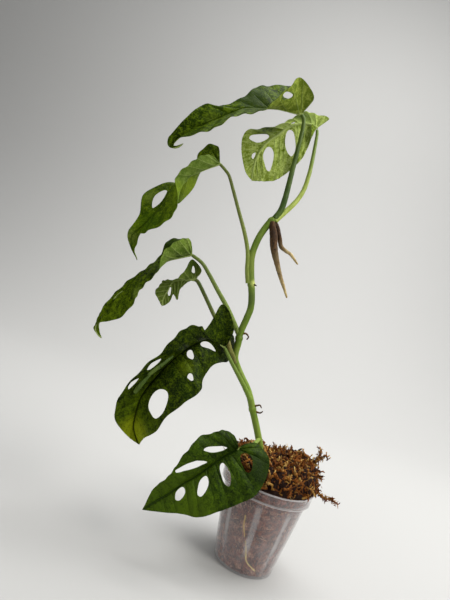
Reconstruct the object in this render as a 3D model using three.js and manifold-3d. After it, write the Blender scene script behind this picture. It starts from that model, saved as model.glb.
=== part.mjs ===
// A potted climbing aroid with mottled, holed leaves: a clear nursery pot filled with moss, one climbing
// stem with its stalks, seven leaves and aerial roots. Millimetres, +Z up, the origin at the middle of the
// pot's flat bottom. The plant leans towards -X, and the leaves face -Y.
import * as THREE from 'three';
import { mergeVertices } from 'three/addons/utils/BufferGeometryUtils.js';
import Module from 'manifold-3d';

const wasm = await Module();
wasm.setup();

// Driving dimensions
const gap = 0.3; // between pieces that touch
const pot = {
  height: 79, baseRadius: 27.4, shoulderRadius: 38.4, rimRadius: 42.5, bandHeight: 10.5, wall: 0.9,
  floor: 1, foot: 1.2, sides: 40, flutes: 8, fluteDepth: 0.7, fluteWidth: 0.35,
  drainHoles: 6, drainRadius: 3, drainCircle: 17,
};
const moss = {
  top: 97.5, crownRadius: 33, shoulderZ: 94, overhang: 42.3, lean: 0.22, relief: 1.3, strands: 12, seed: 7,
};
const stem = { footRadius: 3.1, topRadius: 3.1, nodeSwell: 0.5, nodeLength: 3, sides: 8, step: 7 };
const blade = {
  thickness: 0.8, rows: 24, rowsOfSmallest: 16, columns: 4, holeRings: 1,
  keelRadius: 1.1, keelTip: 0.45, keelReach: 0.6,
};

const colours = {
  pot: 0xc9c4bd, moss: 0x8a5a22, stem: 0x7f9a44, stalk: 0x6d8f3a, leaf: 0x2f5417, root: 0x5c4a34,
  potRoot: 0xb9a884,
};

// The climbing stem, from inside the moss to the node that the top stalk leaves
const stemLine = [
  [-9, 0, 70], [-11, 0, 86], [-14.5, 0, 98], [-17.6, 0, 105.6], [-26, 0, 121], [-32.5, 0, 132],
  [-37, 0, 140], [-43, 1, 149], [-51, 1, 157.5], [-58, 1, 165.5], [-63, 0, 173.5], [-64, 0, 186],
  [-65, 0, 196], [-63.5, 0, 211], [-63, 0, 221], [-65.6, 0, 232], [-69, 0, 241.5], [-73.1, 0, 253.3],
  [-76.4, 0, 265.3], [-76.7, 0, 275.7], [-74.9, 0, 288], [-70.8, 0, 300], [-67.5, 0, 305.5],
];
const stemNodes = [[-33, 0, 133], [-64.5, 0, 191], [-69, 0, 241.5], [-69, 0, 303]];
// Dead root ends that curl out of the nodes
const stubs = [
  [[-33, 0, 136], [-30, -2, 138], [-28, -3, 139], [-26, -4, 137]],
  [[-31, 0, 132], [-27, -2, 132], [-25, -3, 133], [-24, -4, 135]],
  [[-63, 0, 196], [-60, -2, 197], [-57, -3, 195], [-58, -4, 192]],
  [[-68, 0, 241], [-64.5, -3, 242], [-62, -3, 240.5]],
];
const stubRadius = 0.9;

// Leaves from the lowest up. The right half is the one on the right hand when the upper face is looked at
// with the tip away. The midrib runs from the stalk to the tip. Each edge starts where the stalk joins,
// goes round the basal lobe, and ends at the tip. Bulge is how far each half arches towards its upper face.
// A hole is [half, place along the edge, place across the half, reach along, reach across, slant].
const leaves = [
  {
    stalk: [[-19, 0, 109], [-25, -18, 108], [-33, -33, 107], [-40, -42, 106]], stalkRadius: [2, 1.3],
    midrib: [[-40, -42, 106], [-50, -47, 98], [-59, -51, 88], [-67, -54, 79], [-76, -56, 70], [-83, -57, 61],
      [-92, -57, 51], [-99, -56, 42]],
    rightEdge: [[-40, -42, 106], [-46, -44, 116], [-57, -48, 119], [-67, -53, 114], [-75, -58, 109],
      [-80, -61, 99], [-84, -62, 85], [-89, -62, 74], [-96, -60, 61], [-99, -56, 42]],
    leftEdge: [[-40, -42, 106], [-27, -37, 114], [-12, -43, 104], [-16, -54, 82], [-29, -60, 71],
      [-43, -62, 61], [-56, -63, 53], [-70, -62, 51], [-83, -60, 47], [-99, -56, 42]],
    rightBulge: [0, 2, 3, 3, 3, 3, 2, 1, 0, 0], leftBulge: [0, 2, 4, 4, 3, 3, 2, 1, 0, 0],
    lobeEnd: 0.22, ripple: 1.2,
    holes: [['right', 0.4, 0.46, 0.055, 0.2, 0.3], ['right', 0.61, 0.58, 0.042, 0.33, 0.26],
      ['left', 0.285, 0.38, 0.042, 0.21, 0.1], ['left', 0.447, 0.34, 0.03, 0.25, 0.03],
      ['left', 0.607, 0.32, 0.038, 0.2, 0.1], ['left', 0.76, 0.28, 0.034, 0.21, 0.05]],
  },
  {
    stalk: [[-38, -2, 141], [-48, -6, 152], [-57, -9, 161], [-67, -12, 171], [-75, -14, 180]],
    stalkRadius: [2.3, 1.5],
    midrib: [[-75, -14, 180], [-86, -20, 183], [-92, -24, 183], [-97, -28, 180], [-104, -32, 173],
      [-110, -35, 165], [-115, -38, 157], [-119, -40, 150], [-123, -42, 140], [-127, -43, 130],
      [-129, -43, 121], [-129, -42, 110], [-128, -40, 98], [-124, -38, 90], [-119, -36, 83]],
    rightEdge: [[-75, -14, 180], [-77, -18, 196], [-89, -20, 215], [-90, -28, 191], [-100, -42, 193],
      [-109, -50, 189], [-118, -56, 179], [-125, -60, 161], [-134, -60, 144], [-144, -57, 123],
      [-143, -50, 102], [-130, -42, 89], [-119, -36, 83]],
    leftEdge: [[-75, -14, 180], [-77, 0, 195], [-68, 7, 188], [-64, 9, 173], [-70, 3, 167],
      [-80, -26, 164], [-85, -40, 152], [-84, -50, 143], [-94, -56, 131], [-103, -58, 119],
      [-108, -54, 103], [-116, -44, 92], [-119, -36, 83]],
    rightBulge: [0, 1, 1, 0, 2, 3, 3, 2, 2, 1, 1, 0, 0], leftBulge: [0, 0, 0, 0, 0, 2, 3, 3, 2, 1, 0, 0, 0],
    lobeEnd: 0.2, ripple: 1.5,
    holes: [['right', 0.62, 0.8, 0.032, 0.1, 0], ['right', 0.71, 0.86, 0.022, 0.08, 0],
      ['left', 0.395, 0.27, 0.031, 0.23, -0.1], ['left', 0.55, 0.36, 0.052, 0.3, 0],
      ['left', 0.755, 0.57, 0.055, 0.29, 0.03]],
  },
  {
    stalk: [[-62, -2, 169], [-66, -8, 175], [-70, -12, 180], [-74, -12, 186], [-80, -8, 193],
      [-92, 4, 203], [-108, 9, 220], [-117, 9, 229], [-121, 8, 230]],
    stalkRadius: [1.6, 1.1],
    midrib: [[-121, 8, 230], [-126, 9, 229], [-132, 10, 227], [-138, 11, 225], [-141, 12, 220],
      [-142, 13, 214], [-144, 13, 206], [-143, 12, 197]],
    rightEdge: [[-121, 8, 230], [-119, 12, 233], [-125, 15, 228], [-129, 15, 223], [-132, 15, 216],
      [-131, 15, 207], [-136, 14, 211], [-137, 14, 204], [-140, 13, 199], [-143, 12, 197]],
    leftEdge: [[-121, 8, 230], [-117, 6, 240], [-128, 2, 247], [-131, -2, 234], [-136, -4, 225],
      [-145, -2, 221], [-149, 2, 216], [-152, 5, 208], [-147, 8, 202], [-143, 12, 197]],
    rightBulge: [0, 0], leftBulge: [0, 0, 0, 0, -1, -1, -1, -1, 0, 0],
    lobeEnd: 0.22, ripple: 0.6, smallest: true,
    holes: [['right', 0.75, 0.34, 0.05, 0.26, 0], ['left', 0.22, 0.5, 0.035, 0.18, 0]],
  },
  {
    stalk: [[-65, 0, 194], [-68.8, 0, 197.6], [-82.8, 1, 213.6], [-97.2, 2, 227.3], [-109.4, 2, 239.1],
      [-118.5, 2, 246.7], [-130, 2, 251]],
    stalkRadius: [2.5, 1.6],
    midrib: [[-130, 2, 251], [-141, -3, 244], [-147, -6, 240], [-152, -9, 235], [-158, -12, 229],
      [-164, -15, 221], [-169, -17, 213], [-174, -19, 203], [-180, -20, 192], [-184, -20, 179],
      [-188, -19, 168], [-188, -18, 161], [-185, -17, 157], [-181, -16, 155]],
    rightEdge: [[-130, 2, 251], [-138, 14, 262], [-147, 18, 264], [-157, 14, 257], [-158, 7, 242],
      [-163, -2, 231], [-168, -10, 219], [-177, -15, 206], [-184, -19, 192], [-188, -21, 176],
      [-189, -20, 166], [-189, -18, 160], [-181, -16, 155]],
    leftEdge: [[-130, 2, 251], [-134, -8, 262], [-140, -14, 261], [-147, -20, 253], [-151, -26, 241],
      [-150, -30, 226], [-156, -32, 214], [-159, -33, 203], [-161, -32, 193], [-170, -28, 177],
      [-185, -22, 168], [-185, -18, 162], [-181, -16, 155]],
    rightBulge: [0, 0], leftBulge: [0, -2, -3, -3, -1, 0, 1, 1, 1, 1, 0, 0, 0],
    lobeEnd: 0.18, ripple: 0.8,
    holes: [['left', 0.3, 0.22, 0.022, 0.1, 0]],
  },
  {
    stalk: [[-72.5, -1.5, 241.5], [-76.9, -2, 253], [-79.9, -2, 264.4], [-83.3, -1, 273.4], [-90.7, 0, 287],
      [-99.8, 1, 301.2], [-111.7, 2, 320], [-119, 2, 331], [-124, 1, 335], [-131, 0, 339]],
    stalkRadius: [2.1, 1.4],
    midrib: [[-131, 0, 339], [-139, -3, 332], [-146, -6, 325], [-152, -8, 319], [-157, -10, 313],
      [-162, -12, 307], [-164, -14, 299], [-166, -16, 287], [-169, -18, 276], [-174, -19, 264],
      [-180, -19, 255], [-183, -19, 249], [-180, -18, 240], [-173, -15, 230]],
    rightEdge: [[-131, 0, 339], [-138, 8, 356], [-149, 14, 357], [-155, 16, 344], [-149, 12, 331],
      [-148, 6, 315], [-156, 0, 292], [-162, 1, 309], [-177, -3, 303], [-187, -8, 289],
      [-183, -16, 268], [-187, -20, 251], [-182, -18, 240], [-173, -15, 230]],
    leftEdge: [[-131, 0, 339], [-138, -8, 341], [-145, -14, 338], [-151, -20, 330], [-156, -24, 319],
      [-160, -28, 306], [-153, -32, 291], [-151, -34, 278], [-156, -34, 266], [-169, -30, 256],
      [-176, -25, 251], [-176, -21, 244], [-177, -18, 237], [-173, -15, 230]],
    rightBulge: [0, 0], leftBulge: [0, -1, -2, -3, -3, -2, 0, 0, 0, 0, 0, 0, 0, 0],
    lobeEnd: 0.16, ripple: 0.8,
    holes: [['right', 0.66, 0.31, 0.055, 0.22, 0]],
  },
  {
    stalk: [[-66, 0, 304], [-51, 8, 333], [-48, 13, 358], [-51, 20, 396], [-53, 22, 407]],
    stalkRadius: [2.6, 1.5],
    midrib: [[-54, 22, 408], [-62, 20, 408], [-73, 16, 403], [-81, 12, 395], [-87, 9, 385], [-93, 7, 377],
      [-98, 6, 367], [-100, 6, 357], [-100, 6, 346], [-98, 7, 335]],
    rightEdge: [[-54, 22, 408], [-60, 14, 406], [-57, 12, 390], [-59, 10, 372], [-65, 8, 359],
      [-71, 6, 349], [-78, 5, 341], [-86, 5, 338], [-93, 6, 336], [-98, 7, 335]],
    leftEdge: [[-54, 22, 408], [-45, 24, 422], [-58, 32, 425], [-70, 34, 425], [-80, 30, 413],
      [-89, 24, 400], [-105, 18, 390], [-118, 12, 379], [-117, 8, 362], [-107, 6, 342], [-98, 7, 335]],
    rightBulge: [0, 0], leftBulge: [0, 0, -1, -2, -2, -1, 0, 0, 0, 0],
    lobeEnd: 0.2, ripple: 0.8,
    holes: [['right', 0.5, 0.38, 0.055, 0.32, -0.1], ['right', 0.735, 0.43, 0.05, 0.32, -0.03],
      ['left', 0.46, 0.26, 0.02, 0.08, 0], ['left', 0.715, 0.45, 0.042, 0.31, 0.03],
      ['left', 0.84, 0.3, 0.018, 0.11, 0]],
  },
  {
    stalk: [[-67, 0, 306], [-63.8, 1, 315.5], [-63.4, 2, 327.8], [-63.8, 3, 335.8], [-65, 4, 357],
      [-67, 6, 392], [-69, 6, 404], [-73, 6, 409]],
    stalkRadius: [3, 1.6],
    midrib: [[-73, 6, 409], [-85, 1, 406], [-97, -3, 403], [-110, -7, 397], [-123, -11, 391],
      [-134, -14, 381], [-146, -17, 369], [-158, -19, 358], [-169, -20, 348], [-175, -20, 340],
      [-177, -20, 336], [-173, -19, 334], [-168, -19, 336], [-165, -20, 340]],
    rightEdge: [[-73, 6, 409], [-73, 14, 425], [-81, 22, 436], [-91, 24, 440], [-108, 16, 431],
      [-121, 6, 421], [-129, -4, 402], [-143, -12, 386], [-158, -18, 380], [-169, -22, 362],
      [-178, -23, 339], [-174, -20, 333], [-165, -20, 340]],
    leftEdge: [[-73, 6, 409], [-67, -4, 423], [-84, -14, 431], [-91, -24, 415], [-97, -33, 399],
      [-104, -38, 384], [-116, -39, 376], [-128, -39, 368], [-139, -38, 356], [-152, -34, 349],
      [-169, -26, 340], [-172, -20, 335], [-165, -20, 340]],
    rightBulge: [0, 0], leftBulge: [0, 0],
    lobeEnd: 0.2, ripple: 0.8,
    holes: [['left', 0.29, 0.72, 0.03, 0.14, 0]],
  },
];

// Aerial roots hang from the top node; the wall root is pressed against the pot from inside, given by
// its height and its angle round the pot from the front.
const aerialRoots = [
  {
    line: [[-68.5, -1, 302], [-63.3, -3, 290], [-60.4, -4, 281], [-54.4, -5, 269.2], [-46.4, -5, 256.3],
      [-40.3, -4, 248], [-34.3, -3, 239.5]],
    radii: [2.8, 3.6, 3.4, 2.7, 2, 1.5, 0.8],
  },
  {
    line: [[-66, 1, 303], [-62.8, 1, 300], [-57, 1, 290], [-53.3, 2, 283.5], [-47.3, 3, 281],
      [-42.1, 4, 279.3], [-33, 6, 273]],
    radii: [1.8, 1.9, 1.8, 1.7, 1.4, 1.2, 0.7],
  },
];
const wallRoot = { path: [[52, -27], [42, -25], [27, -14], [15, -6], [9.7, 8], [7, 18]], radius: 0.9 };
// Stray strands of moss: the ones that reach over the rim, then the rest are drawn by the seed
const strandRadius = 0.7;
const longStrands = [
  [[33, 0, 100], [37, -1, 108], [38, -2, 115], [35, -2, 119]],
  [[34, 2, 101], [41, 2, 109], [44, 2, 113], [47, 1, 110]],
  [[36, -8, 94], [41, -8, 96], [45, -7, 92]],
  [[37, -10, 86], [44, -10, 82], [51, -9, 79], [58, -8, 79], [66, -7, 76]],
];

function vec(p) {
  return new THREE.Vector3(p[0], p[1], p[2]);
}

// Seeded random numbers from 0 to 1
function makeRandom(seed) {
  let state = seed;
  return () => {
    state = (state * 16807) % 2147483647;
    return state / 2147483647;
  };
}

// A point of an evenly spaced Catmull-Rom curve, at t from 0 to 1
function along(points, t) {
  const last = points.length - 1;
  const x = Math.min(Math.max(t, 0), 1) * last;
  const i = Math.min(Math.floor(x), last - 1);
  const u = x - i;
  const b = points[i];
  const c = points[i + 1];
  const a = i > 0 ? points[i - 1] : b.map((value, k) => 2 * value - c[k]);
  const d = i + 2 <= last ? points[i + 2] : c.map((value, k) => 2 * value - b[k]);
  return b.map((value, k) => 0.5 * (2 * value + (c[k] - a[k]) * u
    + (2 * a[k] - 5 * value + 4 * c[k] - d[k]) * u * u
    + (3 * value - a[k] - 3 * c[k] + d[k]) * u * u * u));
}

function geometryOf(positions, indices) {
  const geometry = new THREE.BufferGeometry();
  geometry.setAttribute('position', new THREE.Float32BufferAttribute(positions, 3));
  geometry.setIndex(indices);
  return geometry;
}

// A round bar along a line of points, its radius given by a function of 0 to 1 along it
function bar(line, radiusAt, sides, step) {
  const curve = new THREE.CatmullRomCurve3(line.map(vec));
  const count = Math.max(3, Math.ceil(curve.getLength() / step));
  const frames = curve.computeFrenetFrames(count, false);
  const positions = [];
  const indices = [];
  for (let i = 0; i <= count; i++) {
    const centre = curve.getPointAt(i / count);
    const radius = radiusAt(i / count, centre);
    for (let k = 0; k < sides; k++) {
      const angle = (2 * Math.PI * k) / sides;
      const point = centre.clone()
        .addScaledVector(frames.normals[i], radius * Math.cos(angle))
        .addScaledVector(frames.binormals[i], radius * Math.sin(angle));
      positions.push(point.x, point.y, point.z);
    }
  }
  for (let i = 0; i < count; i++) {
    for (let k = 0; k < sides; k++) {
      const a = i * sides + k;
      const b = i * sides + ((k + 1) % sides);
      indices.push(a, b, b + sides, a, b + sides, a + sides);
    }
  }
  for (let k = 1; k < sides - 1; k++) {
    const end = count * sides;
    indices.push(0, k + 1, k, end, end + k, end + k + 1);
  }
  return geometryOf(positions, indices);
}

function taper(radii) {
  return (t) => along(radii.map((radius) => [radius]), t)[0];
}

function solidOf(geometry) {
  const bare = new THREE.BufferGeometry();
  bare.setAttribute('position', geometry.getAttribute('position').clone());
  if (geometry.index) bare.setIndex(geometry.index.clone());
  const merged = mergeVertices(bare, 1e-4);
  return new wasm.Manifold(new wasm.Mesh({
    numProp: 3,
    vertProperties: new Float32Array(merged.attributes.position.array),
    triVerts: new Uint32Array(merged.index.array),
  }));
}

function geometryFrom(solid) {
  const mesh = solid.getMesh();
  return geometryOf(Array.from(mesh.vertProperties), Array.from(mesh.triVerts));
}

// The largest of the separate bodies of a solid: a cut can leave loose scraps
function largest(solid) {
  const bodies = solid.decompose();
  return bodies.sort((a, b) => b.volume() - a.volume())[0];
}

function together(solids) {
  return solids.reduce((sum, next) => sum.add(next));
}

// How far the flutes of the pot's wall are pressed in, at an angle round the pot
function fluteAt(angle) {
  const wave = Math.cos(pot.flutes * angle);
  const press = Math.max(0, (wave - 1 + pot.fluteWidth) / pot.fluteWidth);
  return pot.fluteDepth * press;
}

// Only the tapered wall is fluted: neither the rim band nor the floor is
function flutedShare(z) {
  const top = pot.height - pot.bandHeight;
  const rise = THREE.MathUtils.smoothstep(z, pot.foot * 2, pot.foot * 6);
  return rise * (1 - THREE.MathUtils.smoothstep(z, top - 5, top - 1));
}

function fluted(geometry) {
  const position = geometry.getAttribute('position');
  for (let i = 0; i < position.count; i++) {
    const x = position.getX(i);
    const y = position.getY(i);
    const radius = Math.hypot(x, y);
    if (radius < pot.baseRadius - 4) continue;
    const pressed = radius - fluteAt(Math.atan2(y, x)) * flutedShare(position.getZ(i));
    position.setXY(i, (x * pressed) / radius, (y * pressed) / radius);
  }
  return geometry;
}

// A profile of [radius, height] pairs turned round the Z axis
function turned(profile, sides) {
  const points = profile.map(([r, z]) => new THREE.Vector2(r, z));
  return new THREE.LatheGeometry(points, sides).rotateX(Math.PI / 2);
}

// Inner radius of the pot's tapered wall at a height
function innerRadius(z) {
  const share = (z - pot.foot) / (pot.height - pot.bandHeight - pot.foot);
  return pot.baseRadius - pot.wall + (pot.shoulderRadius - pot.baseRadius) * share;
}

function makePot() {
  const step = pot.height - pot.bandHeight;
  const bandRadius = pot.rimRadius - 1.2;
  const heights = [0.25, 0.5, 0.75].map((share) => pot.foot + share * (step - pot.foot));
  const outer = [
    [0, 0], [pot.baseRadius - pot.foot, 0], [pot.baseRadius, pot.foot],
    ...heights.map((z) => [innerRadius(z) + pot.wall, z]),
    [pot.shoulderRadius, step], [bandRadius, step + 0.4], [bandRadius + 0.7, pot.height - 1.2],
    [pot.rimRadius, pot.height - 0.9], [pot.rimRadius, pot.height],
  ];
  const inner = [
    [pot.rimRadius - 1.3, pot.height], [bandRadius - pot.wall, step + 1.4],
    [pot.shoulderRadius - pot.wall, step + 0.8],
    ...[...heights].reverse().map((z) => [innerRadius(z), z]),
    [pot.baseRadius - pot.wall, pot.foot + 0.3], [pot.baseRadius - pot.wall - pot.foot, pot.floor],
    [0, pot.floor],
  ];
  let solid = solidOf(fluted(turned([...outer, ...inner], pot.sides)));
  if (solid.volume() < 0) throw new Error('the pot is inside out');
  for (let i = 0; i < pot.drainHoles; i++) {
    const angle = (2 * Math.PI * (i + 0.5)) / pot.drainHoles;
    const drill = new THREE.CylinderGeometry(pot.drainRadius, pot.drainRadius, 4 * pot.floor, 12)
      .rotateX(Math.PI / 2)
      .translate(pot.drainCircle * Math.cos(angle), pot.drainCircle * Math.sin(angle), 0);
    solid = solid.subtract(solidOf(drill));
  }
  return solid;
}

// Height of the tufts of moss over the smooth mound
function tufts(x, y, z) {
  const coarse = Math.sin(0.42 * x + 0.21 * y) * Math.sin(0.38 * y - 0.17 * z) * Math.sin(0.3 * z + 0.2 * x);
  const fine = Math.sin(0.95 * x - 0.6 * z) * Math.sin(0.9 * y + 0.5 * x);
  return moss.relief * (1.5 * coarse + 0.6 * fine);
}

function makeMoss(holes) {
  const step = pot.height - pot.bandHeight;
  const clear = gap + 0.05;
  const floorRadius = pot.baseRadius - pot.wall - pot.foot;
  const heights = [0.25, 0.5, 0.75].map((share) => pot.foot + share * (step - pot.foot));
  const profile = [
    [0, pot.floor + clear], [floorRadius - clear, pot.floor + clear],
    [pot.baseRadius - pot.wall - clear, pot.foot + 0.3 + clear],
    ...heights.map((z) => [innerRadius(z) - clear, z]),
    [pot.shoulderRadius - pot.wall - clear, step + 0.9 + clear],
    [pot.rimRadius - 2.2 - clear, step + 1.8], [pot.rimRadius - 1.9 - clear, pot.height + clear],
    [moss.overhang, pot.height + 2], [moss.overhang, pot.height + 6],
    [moss.overhang - 1, pot.height + 11], [moss.overhang - 4, moss.shoulderZ],
    [moss.crownRadius, moss.top - 1], [22, moss.top], [11, moss.top], [0, moss.top - 0.5],
  ];
  const geometry = fluted(turned(profile, pot.sides));
  const position = geometry.getAttribute('position');
  for (let i = 0; i < position.count; i++) {
    const [x, y, z] = [position.getX(i), position.getY(i), position.getZ(i)];
    if (z < pot.height + 1.5) continue;
    const radius = Math.hypot(x, y);
    const out = tufts(x, y, z);
    const slope = THREE.MathUtils.smoothstep(z, moss.shoulderZ - 8, moss.top);
    const share = radius > 1e-6 ? (out * (1 - slope)) / radius : 0;
    const lift = (out + moss.lean * Math.max(0, x)) * slope;
    position.setXYZ(i, x * (1 + share), y * (1 + share), z + lift);
  }
  const random = makeRandom(moss.seed);
  const strands = longStrands.map((line) => bar(line, taper([strandRadius + 0.3, strandRadius]), 5, 5));
  for (let i = 0; i < moss.strands; i++) {
    const angle = -2.5 + random() * 3.3;
    const height = pot.height + 5 + random() * 18;
    const reach = 3 + random() * 4;
    const lift = -3 + random() * 8;
    const swing = (random() - 0.5) * 0.35;
    const spot = (r, turn, z) => [r * Math.cos(angle + turn), r * Math.sin(angle + turn), z];
    const line = [spot(34, 0, height - 2), spot(39, 0, height), spot(39.5 + reach, swing, height + lift)];
    strands.push(bar(line, taper([strandRadius + 0.3, strandRadius]), 5, 4));
  }
  const body = together([solidOf(geometry), ...strands.map(solidOf)]);
  return largest(holes.reduce((rest, hole) => rest.subtract(hole), body));
}

function makeStem(grow) {
  const swell = (t, centre) => {
    const radius = stem.footRadius + (stem.topRadius - stem.footRadius) * t;
    const nodes = stemNodes.map((p) => Math.exp(-((vec(p).distanceTo(centre) / stem.nodeLength) ** 2)));
    return radius + grow + stem.nodeSwell * Math.max(...nodes);
  };
  const parts = [bar(stemLine, swell, stem.sides, stem.step)];
  for (const line of stubs) {
    parts.push(bar(line, taper([stubRadius + 0.4 + grow, stubRadius + grow]), 5, 3));
  }
  return together(parts.map(solidOf));
}

// The middle face of a leaf: a grid of rows from the midrib out to each edge, opened by the holes
class LeafFace {
  constructor(leaf, rows, columns) {
    this.leaf = leaf;
    this.rows = rows;
    this.columns = columns;
    this.curve = new THREE.CatmullRomCurve3(leaf.midrib.map(vec));
    this.vertices = [];
    this.faces = [];
    this.known = new Map();
    for (const half of ['right', 'left']) this.addHalf(half);
  }

  // How far along the midrib the vein to this place of the edge starts
  rootOf(t) {
    return Math.max(0, (t - this.leaf.lobeEnd) / (1 - this.leaf.lobeEnd)) ** 1.3;
  }

  point(half, t, s) {
    const root = this.rootOf(t);
    const start = this.curve.getPointAt(root);
    const tangent = this.curve.getTangentAt(root);
    const edge = vec(along(this.leaf[half + 'Edge'], t));
    const across = edge.clone().sub(start);
    const side = half === 'right' ? 1 : -1;
    const normal = across.clone().cross(tangent).multiplyScalar(side);
    if (normal.length() > 1e-6) normal.normalize();
    const bulge = along(this.leaf[half + 'Bulge'].map((value) => [value]), t)[0];
    const ripple = this.leaf.ripple * s * s * Math.sin(Math.PI * t) * Math.sin(8 * Math.PI * t + side);
    return start.addScaledVector(across, s).addScaledVector(normal, 4 * bulge * s * (1 - s) + ripple);
  }

  vertex(half, t, s) {
    const onRib = s < 1e-9;
    const atTip = t > 1 - 1e-9;
    const place = onRib || t < 1e-9 ? Math.max(t, this.leaf.lobeEnd) : t;
    const rib = onRib || t < 1e-9 || atTip;
    const name = rib ? `rib ${(atTip ? 1 : t < 1e-9 ? this.leaf.lobeEnd : place).toFixed(5)}`
      : `${half} ${t.toFixed(5)} ${s.toFixed(5)}`;
    if (!this.known.has(name)) {
      const point = rib ? this.curve.getPointAt(this.rootOf(atTip ? 1 : place)) : this.point(half, t, s);
      this.known.set(name, this.vertices.length);
      this.vertices.push(point);
    }
    return this.known.get(name);
  }

  addFace(half, corners) {
    const ring = [];
    for (const [t, s] of corners) {
      const index = this.vertex(half, t, s);
      if (!ring.includes(index)) ring.push(index);
    }
    if (half === 'right') ring.reverse();
    for (let k = 1; k + 1 < ring.length; k++) this.faces.push([ring[0], ring[k], ring[k + 1]]);
  }

  addHalf(half) {
    const { rows, columns } = this;
    const taken = new Set();
    for (const hole of this.leaf.holes.filter((entry) => entry[0] === half)) {
      const [, centreT, centreS, reachT, reachS, slant] = hole;
      const reach = Math.hypot(reachT, slant * reachS);
      const first = Math.floor((centreT - reach) * rows - 0.1);
      const end = Math.ceil((centreT + reach) * rows + 0.1);
      for (let i = first; i < end; i++) {
        if (taken.has(i)) throw new Error(`holes meet in row ${i} of the ${half} half`);
        taken.add(i);
      }
      const count = end - first;
      const outer = [];
      for (let k = 0; k < count; k++) outer.push([(first + k) / rows, 0]);
      for (let k = 0; k < columns; k++) outer.push([end / rows, k / columns]);
      for (let k = 0; k < count; k++) outer.push([(end - k) / rows, 1]);
      for (let k = 0; k < columns; k++) outer.push([first / rows, 1 - k / columns]);
      const middle = (first + end) / 2 / rows;
      const inner = outer.map(([t, s]) => {
        const angle = Math.atan2(2 * s - 1, ((t - middle) * 2 * rows) / count);
        const rise = reachS * Math.sin(angle);
        return [centreT + reachT * Math.cos(angle) + slant * rise, centreS + rise];
      });
      const mix = (i, f) => outer[i].map((value, k) => value * (1 - f) + inner[i][k] * f);
      for (let ring = 0; ring < blade.holeRings; ring++) {
        const [near, far] = [ring / blade.holeRings, (ring + 1) / blade.holeRings];
        for (let i = 0; i < outer.length; i++) {
          const j = (i + 1) % outer.length;
          this.addFace(half, [mix(i, near), mix(j, near), mix(j, far), mix(i, far)]);
        }
      }
    }
    for (let i = 0; i < rows; i++) {
      if (taken.has(i)) continue;
      for (let j = 0; j < columns; j++) {
        this.addFace(half, [[i / rows, j / columns], [(i + 1) / rows, j / columns],
          [(i + 1) / rows, (j + 1) / columns], [i / rows, (j + 1) / columns]]);
      }
    }
  }

  // The closed blade: both faces are the middle face moved by half the thickness, joined at the borders
  geometry(thickness) {
    const count = this.vertices.length;
    const normals = this.vertices.map(() => new THREE.Vector3());
    const edges = new Map();
    for (const [a, b, c] of this.faces) {
      const normal = this.vertices[b].clone().sub(this.vertices[a])
        .cross(this.vertices[c].clone().sub(this.vertices[a]));
      for (const index of [a, b, c]) normals[index].add(normal);
      for (const [p, q] of [[a, b], [b, c], [c, a]]) edges.set(`${p},${q}`, [p, q]);
    }
    const positions = [];
    for (const side of [0.5, -0.5]) {
      this.vertices.forEach((point, index) => {
        const moved = point.clone().addScaledVector(normals[index].normalize(), side * thickness);
        positions.push(moved.x, moved.y, moved.z);
      });
    }
    const indices = [];
    for (const [a, b, c] of this.faces) {
      indices.push(a, b, c, a + count, c + count, b + count);
    }
    for (const [p, q] of edges.values()) {
      if (edges.has(`${q},${p}`)) continue;
      indices.push(p, p + count, q + count, p, q + count, q);
    }
    return geometryOf(positions, indices);
  }
}

// The midrib stands out under the blade, strongest next to the stalk
function makeKeel(face) {
  const shares = [0, 0.15, 0.3, 0.45, 0.6, 0.8, 1];
  const line = shares.map((share) => face.curve.getPointAt(share * blade.keelReach).toArray());
  return bar(line, taper([blade.keelRadius, blade.keelTip]), 6, 8);
}

function makeLeaf(leaf, stalkGrown) {
  const face = new LeafFace(leaf, leaf.smallest ? blade.rowsOfSmallest : blade.rows, blade.columns);
  const sheet = solidOf(face.geometry(blade.thickness));
  const keel = solidOf(makeKeel(face));
  return largest(sheet.add(keel).subtract(stalkGrown));
}

function makeStalk(leaf, grow) {
  const radii = leaf.stalkRadius.map((radius) => radius + grow);
  return solidOf(bar(leaf.stalk, taper(radii), stem.sides, 9));
}

function makeRoot(root, grow) {
  return solidOf(bar(root.line, taper(root.radii.map((radius) => radius + grow)), stem.sides, 7));
}

function wallRootLine() {
  return wallRoot.path.map(([z, degrees]) => {
    const angle = (degrees - 90) * THREE.MathUtils.DEG2RAD;
    const radius = innerRadius(z) - fluteAt(angle) * flutedShare(z) - gap - wallRoot.radius - 0.15;
    return [radius * Math.cos(angle), radius * Math.sin(angle), z];
  });
}

function makeWallRoot(grow) {
  return solidOf(bar(wallRootLine(), () => wallRoot.radius + grow, 6, 4));
}

const plant = new THREE.Group();

function place(name, solid, colour, roughness) {
  const material = new THREE.MeshStandardMaterial({ color: colour, roughness, metalness: 0 });
  const mesh = new THREE.Mesh(geometryFrom(solid), material);
  mesh.name = name;
  plant.add(mesh);
}

const stemGrown = makeStem(gap);
place('pot', makePot(), colours.pot, 0.25);
place('moss', makeMoss([stemGrown, makeWallRoot(gap)]), colours.moss, 0.95);
place('wall_root', makeWallRoot(0), colours.potRoot, 0.8);
place('vine_stem', makeStem(0), colours.stem, 0.5);
const grownStalks = leaves.map((leaf) => makeStalk(leaf, gap));
leaves.forEach((leaf, index) => {
  const inTheWay = together([stemGrown, ...grownStalks.slice(index + 1)]);
  place(`leaf_stalk_${index + 1}`, largest(makeStalk(leaf, 0).subtract(inTheWay)), colours.stalk, 0.5);
  place(`leaf_${index + 1}`, makeLeaf(leaf, grownStalks[index]), colours.leaf, 0.45);
});
aerialRoots.forEach((root, index) => {
  const earlier = aerialRoots.slice(0, index).map((other) => makeRoot(other, gap));
  const solid = makeRoot(root, 0).subtract(together([stemGrown, ...grownStalks, ...earlier]));
  place(`aerial_root_${index + 1}`, largest(solid), colours.root, 0.8);
});

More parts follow.
